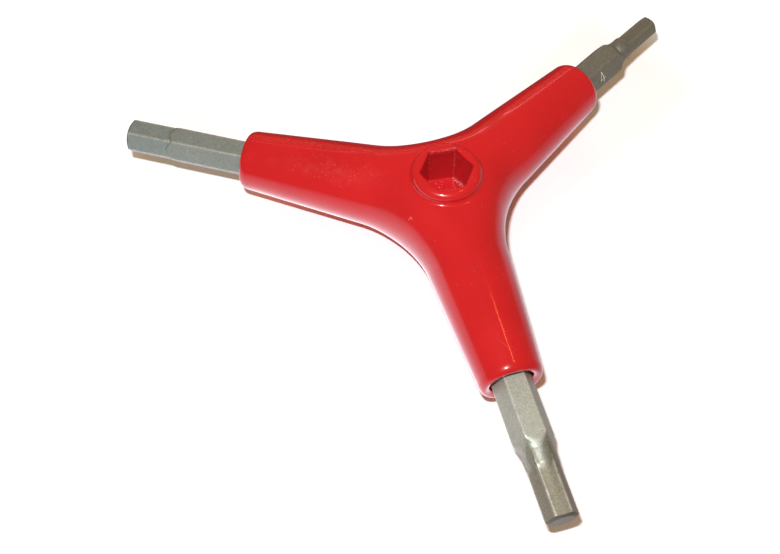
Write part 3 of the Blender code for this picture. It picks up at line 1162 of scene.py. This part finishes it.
@dataclass(frozen=True)
class Handle:
    """The dipped skin and the casting that it covers.

    Args:
        thickness: Thickness of the skin.
        core_reach: Reach at which the casting ends inside the mouth.
        core_round: Rounding of the casting's ends.
        mouth_radius: Radius of a mouth.
        mouth_round: Length of the curve from a mouth out to its lip.
        socket_width: Width of the socket over its flats.
        socket_round: Radius of its corners.
        socket_depth: Its depth under the bead's crest.
        socket_turn: Turn of its corners.
        floor_round: Radius of the curve round its floor.
        bead_height: Height of the bead over the hub.
        crest_radius: Radius of the bead's crest.
        outer_radius: Radius of the bead's outer side.
        inner_drop: Height of the curve from the crest into the socket.
        outer_drop: Height of the curve from the crest to the outer side.
        foot_run: Width of the bead's foot on the hub.
        foot_steps: Loops on that foot.
        outer_steps: Loops on the outer curve.
        inner_steps: Loops on the inner curve.
        wall_steps: Loops down the socket's wall.
        floor_steps: Loops on the curve round its floor.
        floor_shares: Sizes of the loops on its floor.
        under_share: Size of the innermost loop under it.
        mouth_steps: Loops on the curve at a mouth.
        outer_counts: How finely the skin's outer surface is divided.
        inner_counts: How finely its inner surface is divided.
        form: The skin's outer form.
        finish: The skin's finish.
        core_finish: The casting's finish.
    """

    thickness: float = 0.0008
    core_reach: float = 0.0373
    core_round: float = 0.0003
    mouth_radius: float = 0.00385
    mouth_round: float = 0.0007
    socket_width: float = 0.0086
    socket_round: float = 0.00035
    socket_depth: float = 0.0089
    socket_turn: float = radians(54)
    floor_round: float = 0.00035
    bead_height: float = 0.0019
    crest_radius: float = 0.00515
    outer_radius: float = 0.0065
    inner_drop: float = 0.00045
    outer_drop: float = 0.0012
    foot_run: float = 0.00075
    foot_steps: int = 6
    outer_steps: int = 9
    inner_steps: int = 8
    wall_steps: int = 6
    floor_steps: int = 4
    floor_shares: Triple = (0.6, 0.3, 0.1)
    under_share: float = 0.2
    mouth_steps: int = 6
    outer_counts: RowCounts = RowCounts(lip=10, straight=20, approach=14, ring=45, columns=28)
    inner_counts: RowCounts = RowCounts(lip=2, straight=6, approach=6, ring=20, columns=28)
    form: YForm = YForm()
    finish: DippedRed = DippedRed()
    core_finish: CastCore = CastCore()

    @property
    def top(self) -> float:
        """Height of the bead's crest over the arms' axes."""
        return self.form.hub_height + self.bead_height

    @property
    def ring(self) -> float:
        """Radius at which the bead's foot meets the hub."""
        return self.outer_radius + self.foot_run

    def middle(self) -> list[Ring]:
        """The loops from the bead's foot over its crest and down the socket to its floor."""
        hub = self.form.hub_height
        side = self.top - self.outer_drop
        lip = self.top - self.inner_drop
        floor = self.top - self.socket_depth
        bottom = floor + self.floor_round
        flat = 0.5 * self.socket_width
        rings = []
        for radius, height in quarter((self.ring, hub), (self.outer_radius, side), self.foot_steps):
            rings.append(Ring(radius, height, follow=(side - height) / (side - hub)))
        crest = (self.top, self.crest_radius)
        for height, radius in quarter((side, self.outer_radius), crest, self.outer_steps):
            rings.append(Ring(radius, height))
        for share, height in quarter((0.0, self.top), (1.0, lip), self.inner_steps):
            rings.append(Ring(self.crest_radius, height, hexagon=share))
        for step in range(1, self.wall_steps + 1):
            rings.append(Ring(0.0, lip + step / self.wall_steps * (bottom - lip), hexagon=1.0))
        for height, drop in quarter((bottom, 0.0), (floor, self.floor_round), self.floor_steps):
            rings.append(Ring(0.0, height, hexagon=1.0 - drop / flat))
        for share in self.floor_shares:
            rings.append(Ring(0.0, floor, hexagon=share))
        return rings

    def surface(
        self, form: YForm, mouth: list[Pair], middle: list[Ring], within: float, counts: RowCounts
    ) -> bmesh.types.BMesh:
        """One of the skin's two surfaces.

        Args:
            form: Its form.
            mouth: Its points inside an arm's mouth.
            middle: The loops of the hub's middle.
            within: How far it lies inside the skin.
            counts: How finely it is divided.

        Returns:
            Its mesh.
        """
        surface = YSurface(
            form=form,
            mouth=mouth,
            ring=self.ring,
            middle=middle,
            hexagon_width=self.socket_width + 2.0 * within,
            hexagon_round=self.socket_round,
            floor=within - AXIS_HEIGHT,
            counts=counts,
            socket_turn=self.socket_turn,
        )
        return surface.mesh()

    def outside(self) -> bmesh.types.BMesh:
        """The skin's outer surface, down into its mouths and its socket."""
        form = self.form
        lip_end = form.radius(form.end_reach - form.lip_length) - form.lip_drop
        inner = (form.end_reach - self.mouth_round, self.mouth_radius)
        mouth = [(self.core_reach, self.mouth_radius), inner]
        mouth += quarter(inner, (form.end_reach, lip_end), self.mouth_steps)[:-1]
        return self.surface(form, mouth, self.middle(), 0.0, self.outer_counts)

    def inside(self) -> bmesh.types.BMesh:
        """The skin's inner surface, round the casting and under the socket."""
        form = self.form.shrunk(self.thickness).cut_to(self.core_reach, self.core_round)
        bottom = self.top - self.socket_depth - self.thickness
        middle = [
            Ring(0.0, form.hub_height, hexagon=1.0),
            Ring(0.0, bottom, hexagon=1.0),
            Ring(0.0, bottom, hexagon=self.under_share),
        ]
        mouth = [(self.core_reach, self.mouth_radius)]
        return self.surface(form, mouth, middle, self.thickness, self.inner_counts)

    def build(self) -> bpy.types.Object:
        """Makes the skin as one closed shell and dresses the casting.

        Returns:
            The skin's object.
        """
        bm = self.outside()
        inner = self.inside()
        bmesh.ops.reverse_faces(inner, faces=inner.faces)
        part = bpy.data.meshes.new("skin_inside")
        inner.to_mesh(part)
        inner.free()
        bm.from_mesh(part)
        bpy.data.meshes.remove(part)
        bmesh.ops.remove_doubles(bm, verts=bm.verts, dist=MERGE_DISTANCE)
        bmesh.ops.translate(bm, verts=bm.verts, vec=(0.0, 0.0, AXIS_HEIGHT))
        skin = finish_mesh("handle_skin_fine", bm)
        skin.data.materials.append(self.finish.make())
        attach(skin, "root")
        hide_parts("handle_skin")
        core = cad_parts["handle_core"]
        core.data.materials.clear()
        core.data.materials.append(self.core_finish.make())
        return skin


@dataclass(frozen=True)
class Number:
    """The plain number 4, cut into the flat of a shank that faces down and to the side.

    Args:
        reach: Reach of the number's left end.
        foot: How far its foot lies under the middle of the flat.
        height: Its height, across the shank.
        width: Its width, along the shank.
        line: Width of a stroke.
        depth: Depth of a stroke.
        facing: Direction of the flat, from the side to the top.
        fresh_and_highlight_wear: Wear that marks the metal at the bottom of a stroke, for its fresh metal
            and its painted highlight.
        stroke_shares: Ends of the strokes in shares of the width and the height.
    """

    reach: float = 0.04355
    foot: float = 0.00120
    height: float = 0.0022
    width: float = 0.0014
    line: float = 0.00018
    depth: float = 0.00014
    facing: float = radians(150)
    fresh_and_highlight_wear: float = 2.0
    stroke_shares: tuple[tuple[Pair, Pair], ...] = (
        ((0.58, 0.0), (0.66, 0.5)),
        ((0.66, 0.5), (0.42, 1.0)),
        ((0.0, 0.24), (1.0, 0.34)),
        ((0.0, 0.24), (0.42, 1.0)),
    )

    @property
    def normal(self) -> Vector:
        """Direction in which the flat faces."""
        return Vector((0.0, cos(self.facing), sin(self.facing)))

    def cutter(self, flat: float) -> bmesh.types.BMesh:
        """The strokes as bars sunk into the flat."""
        upward = Vector((0.0, sin(self.facing), -cos(self.facing)))
        origin = Vector((self.reach, 0.0, 0.0)) + self.normal * flat - upward * self.foot
        bm = bmesh.new()
        for ends in self.stroke_shares:
            start, end = (
                origin + Vector((across * self.width, 0.0, 0.0)) + upward * (up * self.height)
                for across, up in ends
            )
            along = (end - start).normalized()
            turn = Matrix((along, self.normal.cross(along), self.normal)).transposed().to_4x4()
            size = Matrix.Diagonal(((end - start).length + self.line, self.line, 2.0 * self.depth, 1.0))
            bmesh.ops.create_cube(bm, size=1.0, matrix=Matrix.Translation(0.5 * (start + end)) @ turn @ size)
        return bm

    def cut(self, bm: bmesh.types.BMesh, flat: float) -> bmesh.types.BMesh:
        """Cuts the number into a bit that lies along +X.

        Args:
            bm: The bit's mesh, which is freed.
            flat: Distance of the flat from the bit's axis.

        Returns:
            The new mesh, with the wear marked at the bottom of the strokes.
        """
        body = finish_mesh("shank", bm)
        tool = finish_mesh("strokes", self.cutter(flat))
        modifier = body.modifiers.new("number", "BOOLEAN")
        modifier.solver = "EXACT"
        modifier.use_self = True
        modifier.object = tool
        graph = bpy.context.evaluated_depsgraph_get()
        mesh = bpy.data.meshes.new_from_object(body.evaluated_get(graph))
        new = bmesh.new()
        new.from_mesh(mesh)
        wear = new.verts.layers.float["wear"]
        for vertex in new.verts:
            sunk = flat - self.normal.dot(vertex.co)
            aside = max(abs(vertex.co.x - self.reach), abs(self.normal.cross(vertex.co).x))
            if aside < self.height and 0.5 * self.depth < sunk < 1.5 * self.depth:
                vertex[wear] = self.fresh_and_highlight_wear
        for obj in (body, tool):
            bpy.data.objects.remove(obj)
        bpy.data.meshes.remove(mesh)
        return new


@dataclass(frozen=True)
class Bit:
    """A quarter-inch hexagonal shank, swaged down to a smaller hexagonal tip.

    Args:
        arm: The arm that holds it.
        finish: Its steel.
        across_flats: Width of the tip over its flats.
        shoulder: Reach at which the shank's corners end.
        waist_run: Length of the shoulder.
        waist_radius: Radius under the shoulder.
        neck_run: Length of the neck up to the tip.
        pip: Height of the round pip on top of the neck.
        marked: True if the shank carries its size as a number.
        worn: How far its corners are worn.
        swage_fade: Rise over the tip's hexagon in which the tip's colour turns into the neck's darker one.
        sharp: Angle from which an edge is sharp.
        number: The number.
        shank_width: Width of the shank over its flats.
        tail: Reach of its inner end.
        tail_chamfer: Chamfer of that end.
        tip_reach: Reach of its outer end.
        swage_power: How hollow the shoulder is.
        fall_share: Length over which the round neck runs out, as a share of the tip's radius.
        chamfer_run: Length of the chamfer at the outer end.
        chamfer_drop: Depth of that chamfer.
        edge_round: Radius of the rounded corners.
        blend: Length over which two of its surfaces blend.
        sunk_share: Depth under the shank that counts as swaged, as a share of the step in width.
        proud_share: Rise over the tip that still counts as tip, as a share of the blend.
        tip_from: Swage from which a corner wears as the tip's.
        worn_run: Depth to which the corners are worn.
        round_share: Depth that the rounding takes off a corner, as a share of its radius.
        facets: Number of faces round it.
        crowding: How closely the faces crowd at the corners.
        line_radius: Radius of the line that is turned, before it is shaped.
        plain_reaches: Reaches of the rings on the plain shank.
        shoulder_lead: How far before the shoulder the close rings start.
        lead_step: Distance from there to the ring before them.
        chamfer_lead: How far before the chamfer its close rings start.
        ring_counts: Rings on the shoulder, the neck, the start of the tip and the chamfer.
        pip_shift: Place of the pip from the end of the shoulder.
        pip_length: Half its length along the bit.
        pip_radius: Half its width round the bit.
        pip_angle: Its direction round the bit.
        pip_power: How flat its top is.
    """

    arm: Arm
    finish: BlastedSteel
    across_flats: float
    shoulder: float
    waist_run: float
    waist_radius: float
    neck_run: float
    pip: float = 0.0
    marked: bool = False
    worn: float = 0.6
    swage_fade: float = 0.00040
    sharp: float = radians(28)
    number: Number = Number()
    shank_width: float = 0.00635
    tail: float = 0.0140
    tail_chamfer: float = 0.0006
    tip_reach: float = 0.0638
    swage_power: float = 1.7
    fall_share: float = 0.42
    chamfer_run: float = 0.00045
    chamfer_drop: float = 0.00075
    edge_round: float = 0.00018
    blend: float = 0.00022
    sunk_share: float = 0.25
    proud_share: float = 0.25
    tip_from: float = 1.9
    worn_run: float = 0.00012
    round_share: float = 0.3
    facets: int = 144
    crowding: float = 0.7
    line_radius: float = 0.001
    plain_reaches: Pair = (0.030, 0.0365)
    shoulder_lead: float = 0.0003
    lead_step: float = 0.0001
    chamfer_lead: float = 0.0002
    ring_counts: tuple[int, int, int, int] = (30, 20, 16, 10)
    pip_shift: float = -0.0002
    pip_length: float = 0.0016
    pip_radius: float = 0.0015
    pip_angle: float = radians(109)
    pip_power: float = 0.65

    @property
    def name(self) -> str:
        """The node's name."""
        return f"bit_{round(self.across_flats / MILLIMETRE)}mm"

    @property
    def waist(self) -> float:
        """Reach of the end of the shoulder."""
        return self.shoulder + self.waist_run

    @property
    def neck(self) -> float:
        """Reach of the start of the tip."""
        return self.waist + self.neck_run

    def turned(self, reach: float) -> float:
        """Radius of the round swaging at a reach."""
        corner = corner_radius(self.shank_width)
        tip = corner_radius(self.across_flats)
        end = min(tip, self.waist_radius)
        if reach <= self.shoulder:
            return corner + self.shoulder - reach
        if reach <= self.waist:
            left = 1.0 - (reach - self.shoulder) / self.waist_run
            return self.waist_radius + (corner - self.waist_radius) * max(left, 0.0) ** self.swage_power
        if reach <= self.neck:
            return self.waist_radius + ease((reach - self.waist) / self.neck_run) * (end - self.waist_radius)
        return end - max(end - 0.5 * self.across_flats, 0.0) * (reach - self.neck) / (self.fall_share * tip)

    def radius(self, reach: float, angle: float) -> float:
        """Radius of the bit in one direction.

        Args:
            reach: Distance from the hub's axis.
            angle: Direction, measured from a corner.

        Returns:
            The radius.
        """
        shank = hexagon_radius(angle, self.shank_width, self.edge_round)
        body = self.turned(reach)
        if reach > self.shoulder:
            body = smooth_most(body, hexagon_radius(angle, self.across_flats, self.edge_round), self.blend)
        body += self.pip_rise(reach, angle, body)
        value = smooth_least(shank, body, self.blend)
        rise = (self.tip_reach - reach) * self.chamfer_drop / self.chamfer_run
        end = corner_radius(self.across_flats) - self.chamfer_drop + rise
        start = (reach - self.tail) + corner_radius(self.shank_width) - self.tail_chamfer
        return min(smooth_least(value, end, 0.5 * self.blend), start)

    def pip_rise(self, reach: float, angle: float, radius: float) -> float:
        """Height of the round pip on top of the neck."""
        if not self.pip:
            return 0.0
        from_pip = (angle - self.pip_angle + pi) % (2.0 * pi) - pi
        middle = self.waist + self.pip_shift
        off = hypot((reach - middle) / self.pip_length, from_pip * radius / self.pip_radius)
        return self.pip * max(0.0, 1.0 - off * off) ** self.pip_power

    def reaches(self) -> list[float]:
        """Reaches of the rings, close together where the shape changes."""
        lead = self.shoulder - self.shoulder_lead
        flats = self.neck + self.fall_share * corner_radius(self.across_flats)
        chamfer = self.tip_reach - self.chamfer_run - self.chamfer_lead
        places = [self.tail, self.tail + self.tail_chamfer, *self.plain_reaches, lead - self.lead_step]
        spans = ((lead, self.waist), (self.waist, self.neck), (self.neck, flats), (chamfer, self.tip_reach))
        for (low, high), count in zip(spans, self.ring_counts):
            places += [low + (high - low) * step / count for step in range(count + 1)]
        return sorted(set(round(place, 8) for place in places))

    def swage(self, reach: float, angle: float, radius: float) -> float:
        """The zone in which a point lies, with the neck fading into the tip."""
        if reach >= self.tip_reach:
            return Zone.END
        if reach > self.tip_reach - self.chamfer_run:
            return Zone.CHAMFER
        sunk = hexagon_radius(angle, self.shank_width, self.edge_round) - radius
        if sunk < min(self.blend, self.sunk_share * (self.shank_width - self.across_flats)):
            return Zone.SHANK
        proud = radius - hexagon_radius(angle, self.across_flats, self.edge_round)
        proud -= self.proud_share * self.blend
        return Zone.TIP - min(max(proud / self.swage_fade, 0.0), 1.0)

    def wear(self, reach: float, angle: float, radius: float) -> float:
        """How far the blasting is worn off along the corners, from 0 to 1."""
        swage = self.swage(reach, angle, radius)
        if Zone.SHANK < swage < self.tip_from or swage > Zone.TIP:
            return 0.0
        width = self.across_flats if swage else self.shank_width
        corner = corner_radius(width) - self.edge_round * self.round_share
        return self.worn * max(0.0, min(1.0, (radius - corner + self.worn_run) / self.worn_run))

    def build(self) -> bpy.types.Object:
        """Turns the bit's line round its axis and mills the flats into it.

        Returns:
            The object.
        """
        bm = bmesh.new()
        reaches = self.reaches()
        points = [bm.verts.new((reach, self.line_radius, 0.0)) for reach in reaches]
        line = [bm.edges.new(pair) for pair in zip(points, points[1:])]
        bmesh.ops.spin(
            bm,
            geom=points + line,
            axis=(1.0, 0.0, 0.0),
            angle=2.0 * pi,
            steps=self.facets,
            use_merge=True,
        )
        wear = bm.verts.layers.float.new("wear")
        swage = bm.verts.layers.float.new("swage")
        for vertex in bm.verts:
            angle = atan2(vertex.co.z, vertex.co.y)
            angle -= self.crowding * sin(HEXAGON_SIDES * angle) / HEXAGON_SIDES
            reach = vertex.co.x
            radius = self.radius(reach, angle)
            vertex[wear] = self.wear(reach, angle, radius)
            vertex[swage] = self.swage(reach, angle, radius)
            vertex.co = Vector((reach, radius * cos(angle), radius * sin(angle)))
        for place in (reaches[0], reaches[-1]):
            edges = [e for e in bm.edges if e.is_boundary and abs(e.verts[0].co.x - place) < MERGE_DISTANCE]
            bmesh.ops.edgeloop_fill(bm, edges=edges)
        bmesh.ops.recalc_face_normals(bm, faces=bm.faces)
        if self.marked:
            bm = self.number.cut(bm, 0.5 * self.shank_width)
        bmesh.ops.rotate(bm, verts=bm.verts, matrix=Matrix.Rotation(self.arm.turn, 3, "Z"))
        bmesh.ops.translate(bm, verts=bm.verts, vec=(0.0, 0.0, AXIS_HEIGHT))
        obj = finish_mesh(self.name + "_fine", bm, self.sharp)
        obj.data.materials.append(self.finish.make())
        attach(obj, "root")
        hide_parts(self.name)
        return obj


# Camera, floor and light


@dataclass(frozen=True)
class Lamp:
    """A lamp that shines at the hub.

    Args:
        name: Its name.
        place: Where it hangs.
        size: Its width and height.
        level: Its light on a white face turned to it, whatever the distance.
        colour: Its colour.
        mirrored: True if the gloss shows it.
    """

    name: str
    place: Triple
    size: Pair
    level: float
    colour: Triple = (1.0, 1.0, 1.0)
    mirrored: bool = True

    def build(self, stand: Matrix) -> None:
        """Makes the lamp.

        Args:
            stand: What its place is measured from.
        """
        light = bpy.data.lights.new(self.name, "AREA")
        light.shape = "ELLIPSE"
        light.size, light.size_y = self.size
        light.energy = 1.0
        light.color = self.colour
        light.use_nodes = True
        tree = light.node_tree
        falloff = tree.nodes.new("ShaderNodeLightFalloff")
        falloff.inputs["Strength"].default_value = self.level * pi * pi
        tree.links.new(falloff.outputs["Constant"], tree.nodes["Emission"].inputs["Strength"])
        lamp = bpy.data.objects.new(self.name, light)
        lamp.location = stand @ Vector(self.place)
        lamp.rotation_euler = lamp.location.to_track_quat("Z", "Y").to_euler()
        lamp.visible_glossy = self.mirrored
        bpy.context.scene.collection.objects.link(lamp)
        log.info("%s %.3f m from the hub", self.name, lamp.location.length)


@dataclass(frozen=True)
class Strip:
    """A thin bent lamp far off, which lights nothing and shows only in the gloss.

    Args:
        name: Its name.
        centre: Centre of the arc.
        radii: Half sizes of the arc's ellipse.
        start: Angle at which the arc starts.
        end: Angle at which it ends.
        colour: Its light.
        overhead: True if it lies level over the wrench, false if it stands behind it.
        start_width: Half the strip's width at its start.
        end_width: Half its width at its end.
        segments: Number of straight pieces along it.
    """

    name: str
    centre: Triple
    radii: Pair
    start: float
    end: float
    colour: Colour
    overhead: bool = False
    start_width: float = 0.008
    end_width: float = 0.003
    segments: int = 24

    def build(self) -> None:
        """Makes the strip."""
        bm = bmesh.new()
        bmesh.ops.create_grid(bm, x_segments=self.segments, y_segments=1, size=1.0)
        for vertex in bm.verts:
            share = 0.5 * (vertex.co.x + 1.0)
            angle = self.start + share * (self.end - self.start)
            spread = vertex.co.y * (self.start_width + share * (self.end_width - self.start_width))
            wide, high = (radius + spread for radius in self.radii)
            shift = (wide * cos(angle), high * sin(angle))
            offset = (shift[0], shift[1], 0.0) if self.overhead else (shift[0], 0.0, shift[1])
            vertex.co = Vector(self.centre) + Vector(offset)
        strip = finish_mesh(self.name, bm)
        graph = Graph("light_of_" + self.name)
        strip.data.materials.append(graph.close(graph.glow(self.colour)))
        strip.visible_camera = False
        strip.visible_diffuse = False
        strip.visible_shadow = False
        strip.visible_transmission = False


@dataclass(frozen=True)
class Floor:
    """A plain white floor, which the gloss shows as a painted reflection: light given off only to glossy
    rays, bright beside the arms and dark behind them.

    Args:
        size: Its width.
        gap: How far it lies under the wrench.
        colour: Its paint.
        glow_colour: Colour of the glow that keeps it white round the wrench's shadow.
        beside_glow: Strength of the glow beside the arms.
        beside_span: Distances from an arm's axis at which it starts and is full.
        outer_glow: Strength of the glow that is added farther out.
        outer_span: Distances from the hub's axis at which that starts and is full.
        mirror_colour: Colour of the floor's painted reflection in the gloss.
        mirror_near: Its strength there close to an arm.
        mirror_far: Its strength farther from the arm.
        mirror_fade: Distance over which the near part fades.
        mirror_reach: Distance over which all of it fades.
        behind_span: Distances behind the upper arms at which the painted reflection starts to be dark and is
            darkest.
        behind_near_loss: Share that the near part loses there.
        behind_far_loss: Share that the far part loses there.
        right_span: Distances to the right of the hub at which the painted reflection starts to be darker and
            is darkest.
        right_near_loss: Share that the near part loses there.
        right_far_loss: Share that the far part loses there.
        end_span: Distances along an arm at which the floor beyond its end starts and is reached.
        end_width: Distances from the arm's axis at which that floor ends and is full.
        end_shadow_loss: Share that the floor's reflection beyond an arm's end loses, a painted shadow of the
            arm's end and its bit.
    """

    size: float = 1.6
    gap: float = 0.00005
    colour: Colour = (0.90, 0.92, 0.97, 1.0)
    glow_colour: Colour = (0.80, 1.0, 1.20, 1.0)
    beside_glow: float = 0.24
    beside_span: Pair = (0.012, 0.024)
    outer_glow: float = 0.42
    outer_span: Pair = (0.060, 0.090)
    mirror_colour: Colour = (1.10, 0.97, 1.07, 1.0)
    mirror_near: float = 1.2
    mirror_far: float = 1.25
    mirror_fade: float = 0.012
    mirror_reach: float = 0.090
    behind_span: Pair = (-0.002, 0.006)
    behind_near_loss: float = 0.70
    behind_far_loss: float = 0.95
    right_span: Pair = (0.002, 0.012)
    right_near_loss: float = 0.20
    right_far_loss: float = 0.66
    end_span: Pair = (0.038, 0.043)
    end_width: Pair = (0.014, 0.005)
    end_shadow_loss: float = 0.35

    def mirror(self, graph: Graph, x: Link, y: Link, along: Link, aside: Link) -> Link:
        """How bright the painted reflection of the floor is in the gloss.

        Args:
            graph: The floor's graph.
            x: Distance to the right of the hub.
            y: Distance behind it.
            along: Distance from the hub along the nearest arm.
            aside: Distance from that arm's axis.

        Returns:
            The brightness.
        """
        behind = graph.ramp(y - abs(x) * tan(Arm.FOUR.turn), *self.behind_span)
        right = graph.ramp(x, *self.right_span)
        # painted shadow of the arm's end and its bit in the floor's reflection
        mirrored_end_shadow = graph.ramp(along, *self.end_span) * graph.ramp(aside, *self.end_width)
        near = graph.math("EXPONENT", aside / -self.mirror_fade) * self.mirror_near
        near = near * (1.0 - behind * self.behind_near_loss) * (1.0 - right * self.right_near_loss)
        far = (1.0 - behind * self.behind_far_loss) * (1.0 - right * self.right_far_loss) * self.mirror_far
        total = (near + far) * graph.math("EXPONENT", aside / -self.mirror_reach)
        return total * (1.0 - mirrored_end_shadow * self.end_shadow_loss)

    def make(self) -> bpy.types.Material:
        """Builds the floor's material."""
        graph = Graph("white_floor")
        x, y, _ = graph.axes(graph.place())
        along = toward(abs(x), y, Arm.FOUR.turn).most(y * -1.0)
        from_hub = from_origin(x, y)
        aside = (x * x + y * y - along * along).most(0.0) ** 0.5
        outer = graph.ramp(from_hub, *self.outer_span)
        glow = graph.ramp(aside, *self.beside_span).most(outer) * self.beside_glow + outer * self.outer_glow
        path = graph.add("ShaderNodeLightPath")
        halo = graph.glow(self.glow_colour, graph.link(path, "Is Camera Ray") * glow)
        paper = graph.link(graph.add("ShaderNodeBsdfDiffuse", Color=self.colour))
        plain = graph.link(graph.add("ShaderNodeAddShader", _0=paper, _1=halo))
        # glossy rays see this painted reflection in place of the lit floor
        painted_reflection = graph.glow(self.mirror_colour, self.mirror(graph, x, y, along, aside))
        mirrored = graph.link(path, "Is Glossy Ray")
        return graph.close(graph.link(graph.add("ShaderNodeMixShader", _0=mirrored, _1=plain, _2=painted_reflection)))

    def build(self) -> None:
        """Lays the floor."""
        bm = bmesh.new()
        bmesh.ops.create_grid(bm, x_segments=1, y_segments=1, size=0.5 * self.size)
        bmesh.ops.translate(bm, verts=bm.verts, vec=(0.0, 0.0, -self.gap))
        floor = finish_mesh("floor", bm)
        floor.data.materials.append(self.make())


@dataclass(frozen=True)
class Room:
    """An even warm room behind a white backdrop.

    Args:
        level: Strength of its light.
        mirrored: Its strength in the gloss.
        colour: Its colour.
    """

    level: float = 0.33
    mirrored: float = 0.16
    colour: Colour = WARM

    def build(self) -> None:
        """Makes the world."""
        world = bpy.data.worlds.new("room")
        world.use_nodes = True
        tree = world.node_tree
        room = tree.nodes["Background"]
        path = tree.nodes.new("ShaderNodeLightPath")
        level = tree.nodes.new("ShaderNodeMapRange")
        backdrop = tree.nodes.new("ShaderNodeBackground")
        both = tree.nodes.new("ShaderNodeMixShader")
        level.inputs["To Min"].default_value = self.level
        level.inputs["To Max"].default_value = self.mirrored
        room.inputs["Color"].default_value = self.colour
        backdrop.inputs["Color"].default_value = WHITE
        for output, socket in (
            (path.outputs["Is Glossy Ray"], level.inputs["Value"]),
            (level.outputs["Result"], room.inputs["Strength"]),
            (path.outputs["Is Camera Ray"], both.inputs[0]),
            (room.outputs["Background"], both.inputs[1]),
            (backdrop.outputs["Background"], both.inputs[2]),
            (both.outputs["Shader"], tree.nodes["World Output"].inputs["Surface"]),
        ):
            tree.links.new(output, socket)
        bpy.context.scene.world = world


@dataclass(frozen=True)
class Studio:
    """Everything round the wrench.

    Args:
        camera_place: Where the camera stands.
        yaw: Turn of the camera round the upright.
        pitch: Tilt of the camera from straight down.
        roll: Turn of the camera round its own axis.
        lens: Focal length in millimetres.
        sensor: Width of the camera's sensor in millimetres.
        clip: Nearest and farthest distance that the camera sees.
        flash: The main light, placed above and to the left of the lens.
        back_lamp: A low soft lamp behind the wrench.
        floor: The floor.
        room: The room.
        strips: Far lamps, which the gloss shows as thin lines along the arms.
    """

    camera_place: Triple = (-0.035880, -0.098407, 0.155761)
    yaw: float = radians(-14.158)
    pitch: float = radians(30.584)
    roll: float = radians(-1.260)
    lens: float = 43.803
    sensor: float = 36.0
    clip: Pair = (0.01, 10.0)
    flash: Lamp = Lamp("flash", place=(-0.0171, 0.0370, 0.0186), size=(0.016, 0.008), level=1.03)
    back_lamp: Lamp = Lamp(
        "back_lamp",
        place=(0.080, 0.400, 0.110),
        size=(0.30, 0.12),
        level=0.35,
        colour=WARM[:3],
        mirrored=False,
    )
    floor: Floor = Floor()
    room: Room = Room()
    strips: tuple[Strip, ...] = (
        Strip(
            "window_left",
            centre=(-0.038, 0.300, 0.060),
            radii=(0.097, 0.183),
            start=radians(100),
            end=radians(28),
            colour=(2.6, 0.5, 1.1, 1.0),
        ),
        Strip(
            "window_right",
            centre=(0.103, 0.300, 0.070),
            radii=(0.041, 0.067),
            start=radians(60),
            end=radians(165),
            colour=(3.6, 1.2, 1.6, 1.0),
        ),
        Strip(
            "ceiling_lamp",
            centre=(0.120, 0.040, 0.300),
            radii=(0.034, 0.040),
            start=radians(222),
            end=radians(136),
            colour=(16.0, 4.4, 1.6, 1.0),
            overhead=True,
        ),
    )

    def camera_matrix(self) -> Matrix:
        """The camera's place and turn."""
        turn = Matrix.Rotation(self.yaw, 4, "Z")
        turn @= Matrix.Rotation(self.pitch, 4, "X")
        turn @= Matrix.Rotation(self.roll, 4, "Z")
        return Matrix.Translation(self.camera_place) @ turn

    def build_camera(self) -> None:
        """Puts the camera where the photograph was taken from."""
        data = bpy.data.cameras.new("camera")
        data.lens = self.lens
        data.sensor_width = self.sensor
        data.clip_start, data.clip_end = self.clip
        camera = bpy.data.objects.new("camera", data)
        camera.matrix_world = self.camera_matrix()
        bpy.context.scene.collection.objects.link(camera)
        bpy.context.scene.camera = camera

    def build(self) -> None:
        """Sets up everything round the wrench."""
        self.build_camera()
        self.flash.build(self.camera_matrix())
        self.back_lamp.build(Matrix())
        self.floor.build()
        self.room.build()
        for strip in self.strips:
            strip.build()
        bpy.context.scene.view_settings.view_transform = "Standard"


def main() -> None:
    """Builds the pieces in order."""
    logging.basicConfig(level=logging.INFO, format="%(message)s")
    grey = BlastedSteel("steel_of_5mm")
    dark = BlastedSteel(
        "steel_of_4mm",
        colour=(0.29, 0.295, 0.245, 1.0),
        tip=(0.28, 0.28, 0.22, 1.0),
        neck_share=0.92,
        neck_roughness=0.72,
    )
    blue = BlastedSteel(
        "steel_of_6mm",
        colour=(0.36, 0.425, 0.40, 1.0),
        tip=(0.345, 0.42, 0.405, 1.0),
        # painted shade along the short step from the shank to the tip
        neck_share=0.62,
        neck_roughness=0.56,
    )
    pieces = (
        Handle(),
        Bit(
            Arm.FOUR,
            dark,
            across_flats=0.0040,
            shoulder=0.0499,
            waist_run=0.0031,
            waist_radius=0.00235,
            neck_run=0.0018,
            pip=0.00078,
            marked=True,
            worn=0.12,
        ),
        Bit(
            Arm.FIVE,
            grey,
            across_flats=0.0050,
            shoulder=0.0500,
            waist_run=0.0022,
            waist_radius=0.00298,
            neck_run=0.0024,
        ),
        Bit(
            Arm.SIX,
            blue,
            across_flats=0.0060,
            shoulder=0.0541,
            waist_run=0.00215,
            waist_radius=0.00286,
            neck_run=0.0006,
            # keeps the neck's painted shade to a thin line at the step
            swage_fade=0.00002,
        ),
    )
    for piece in pieces:
        made = piece.build()
        log.info("%s: %d faces", made.name, len(made.data.polygons))
    Studio().build()


if __name__ == "__main__":
    main()
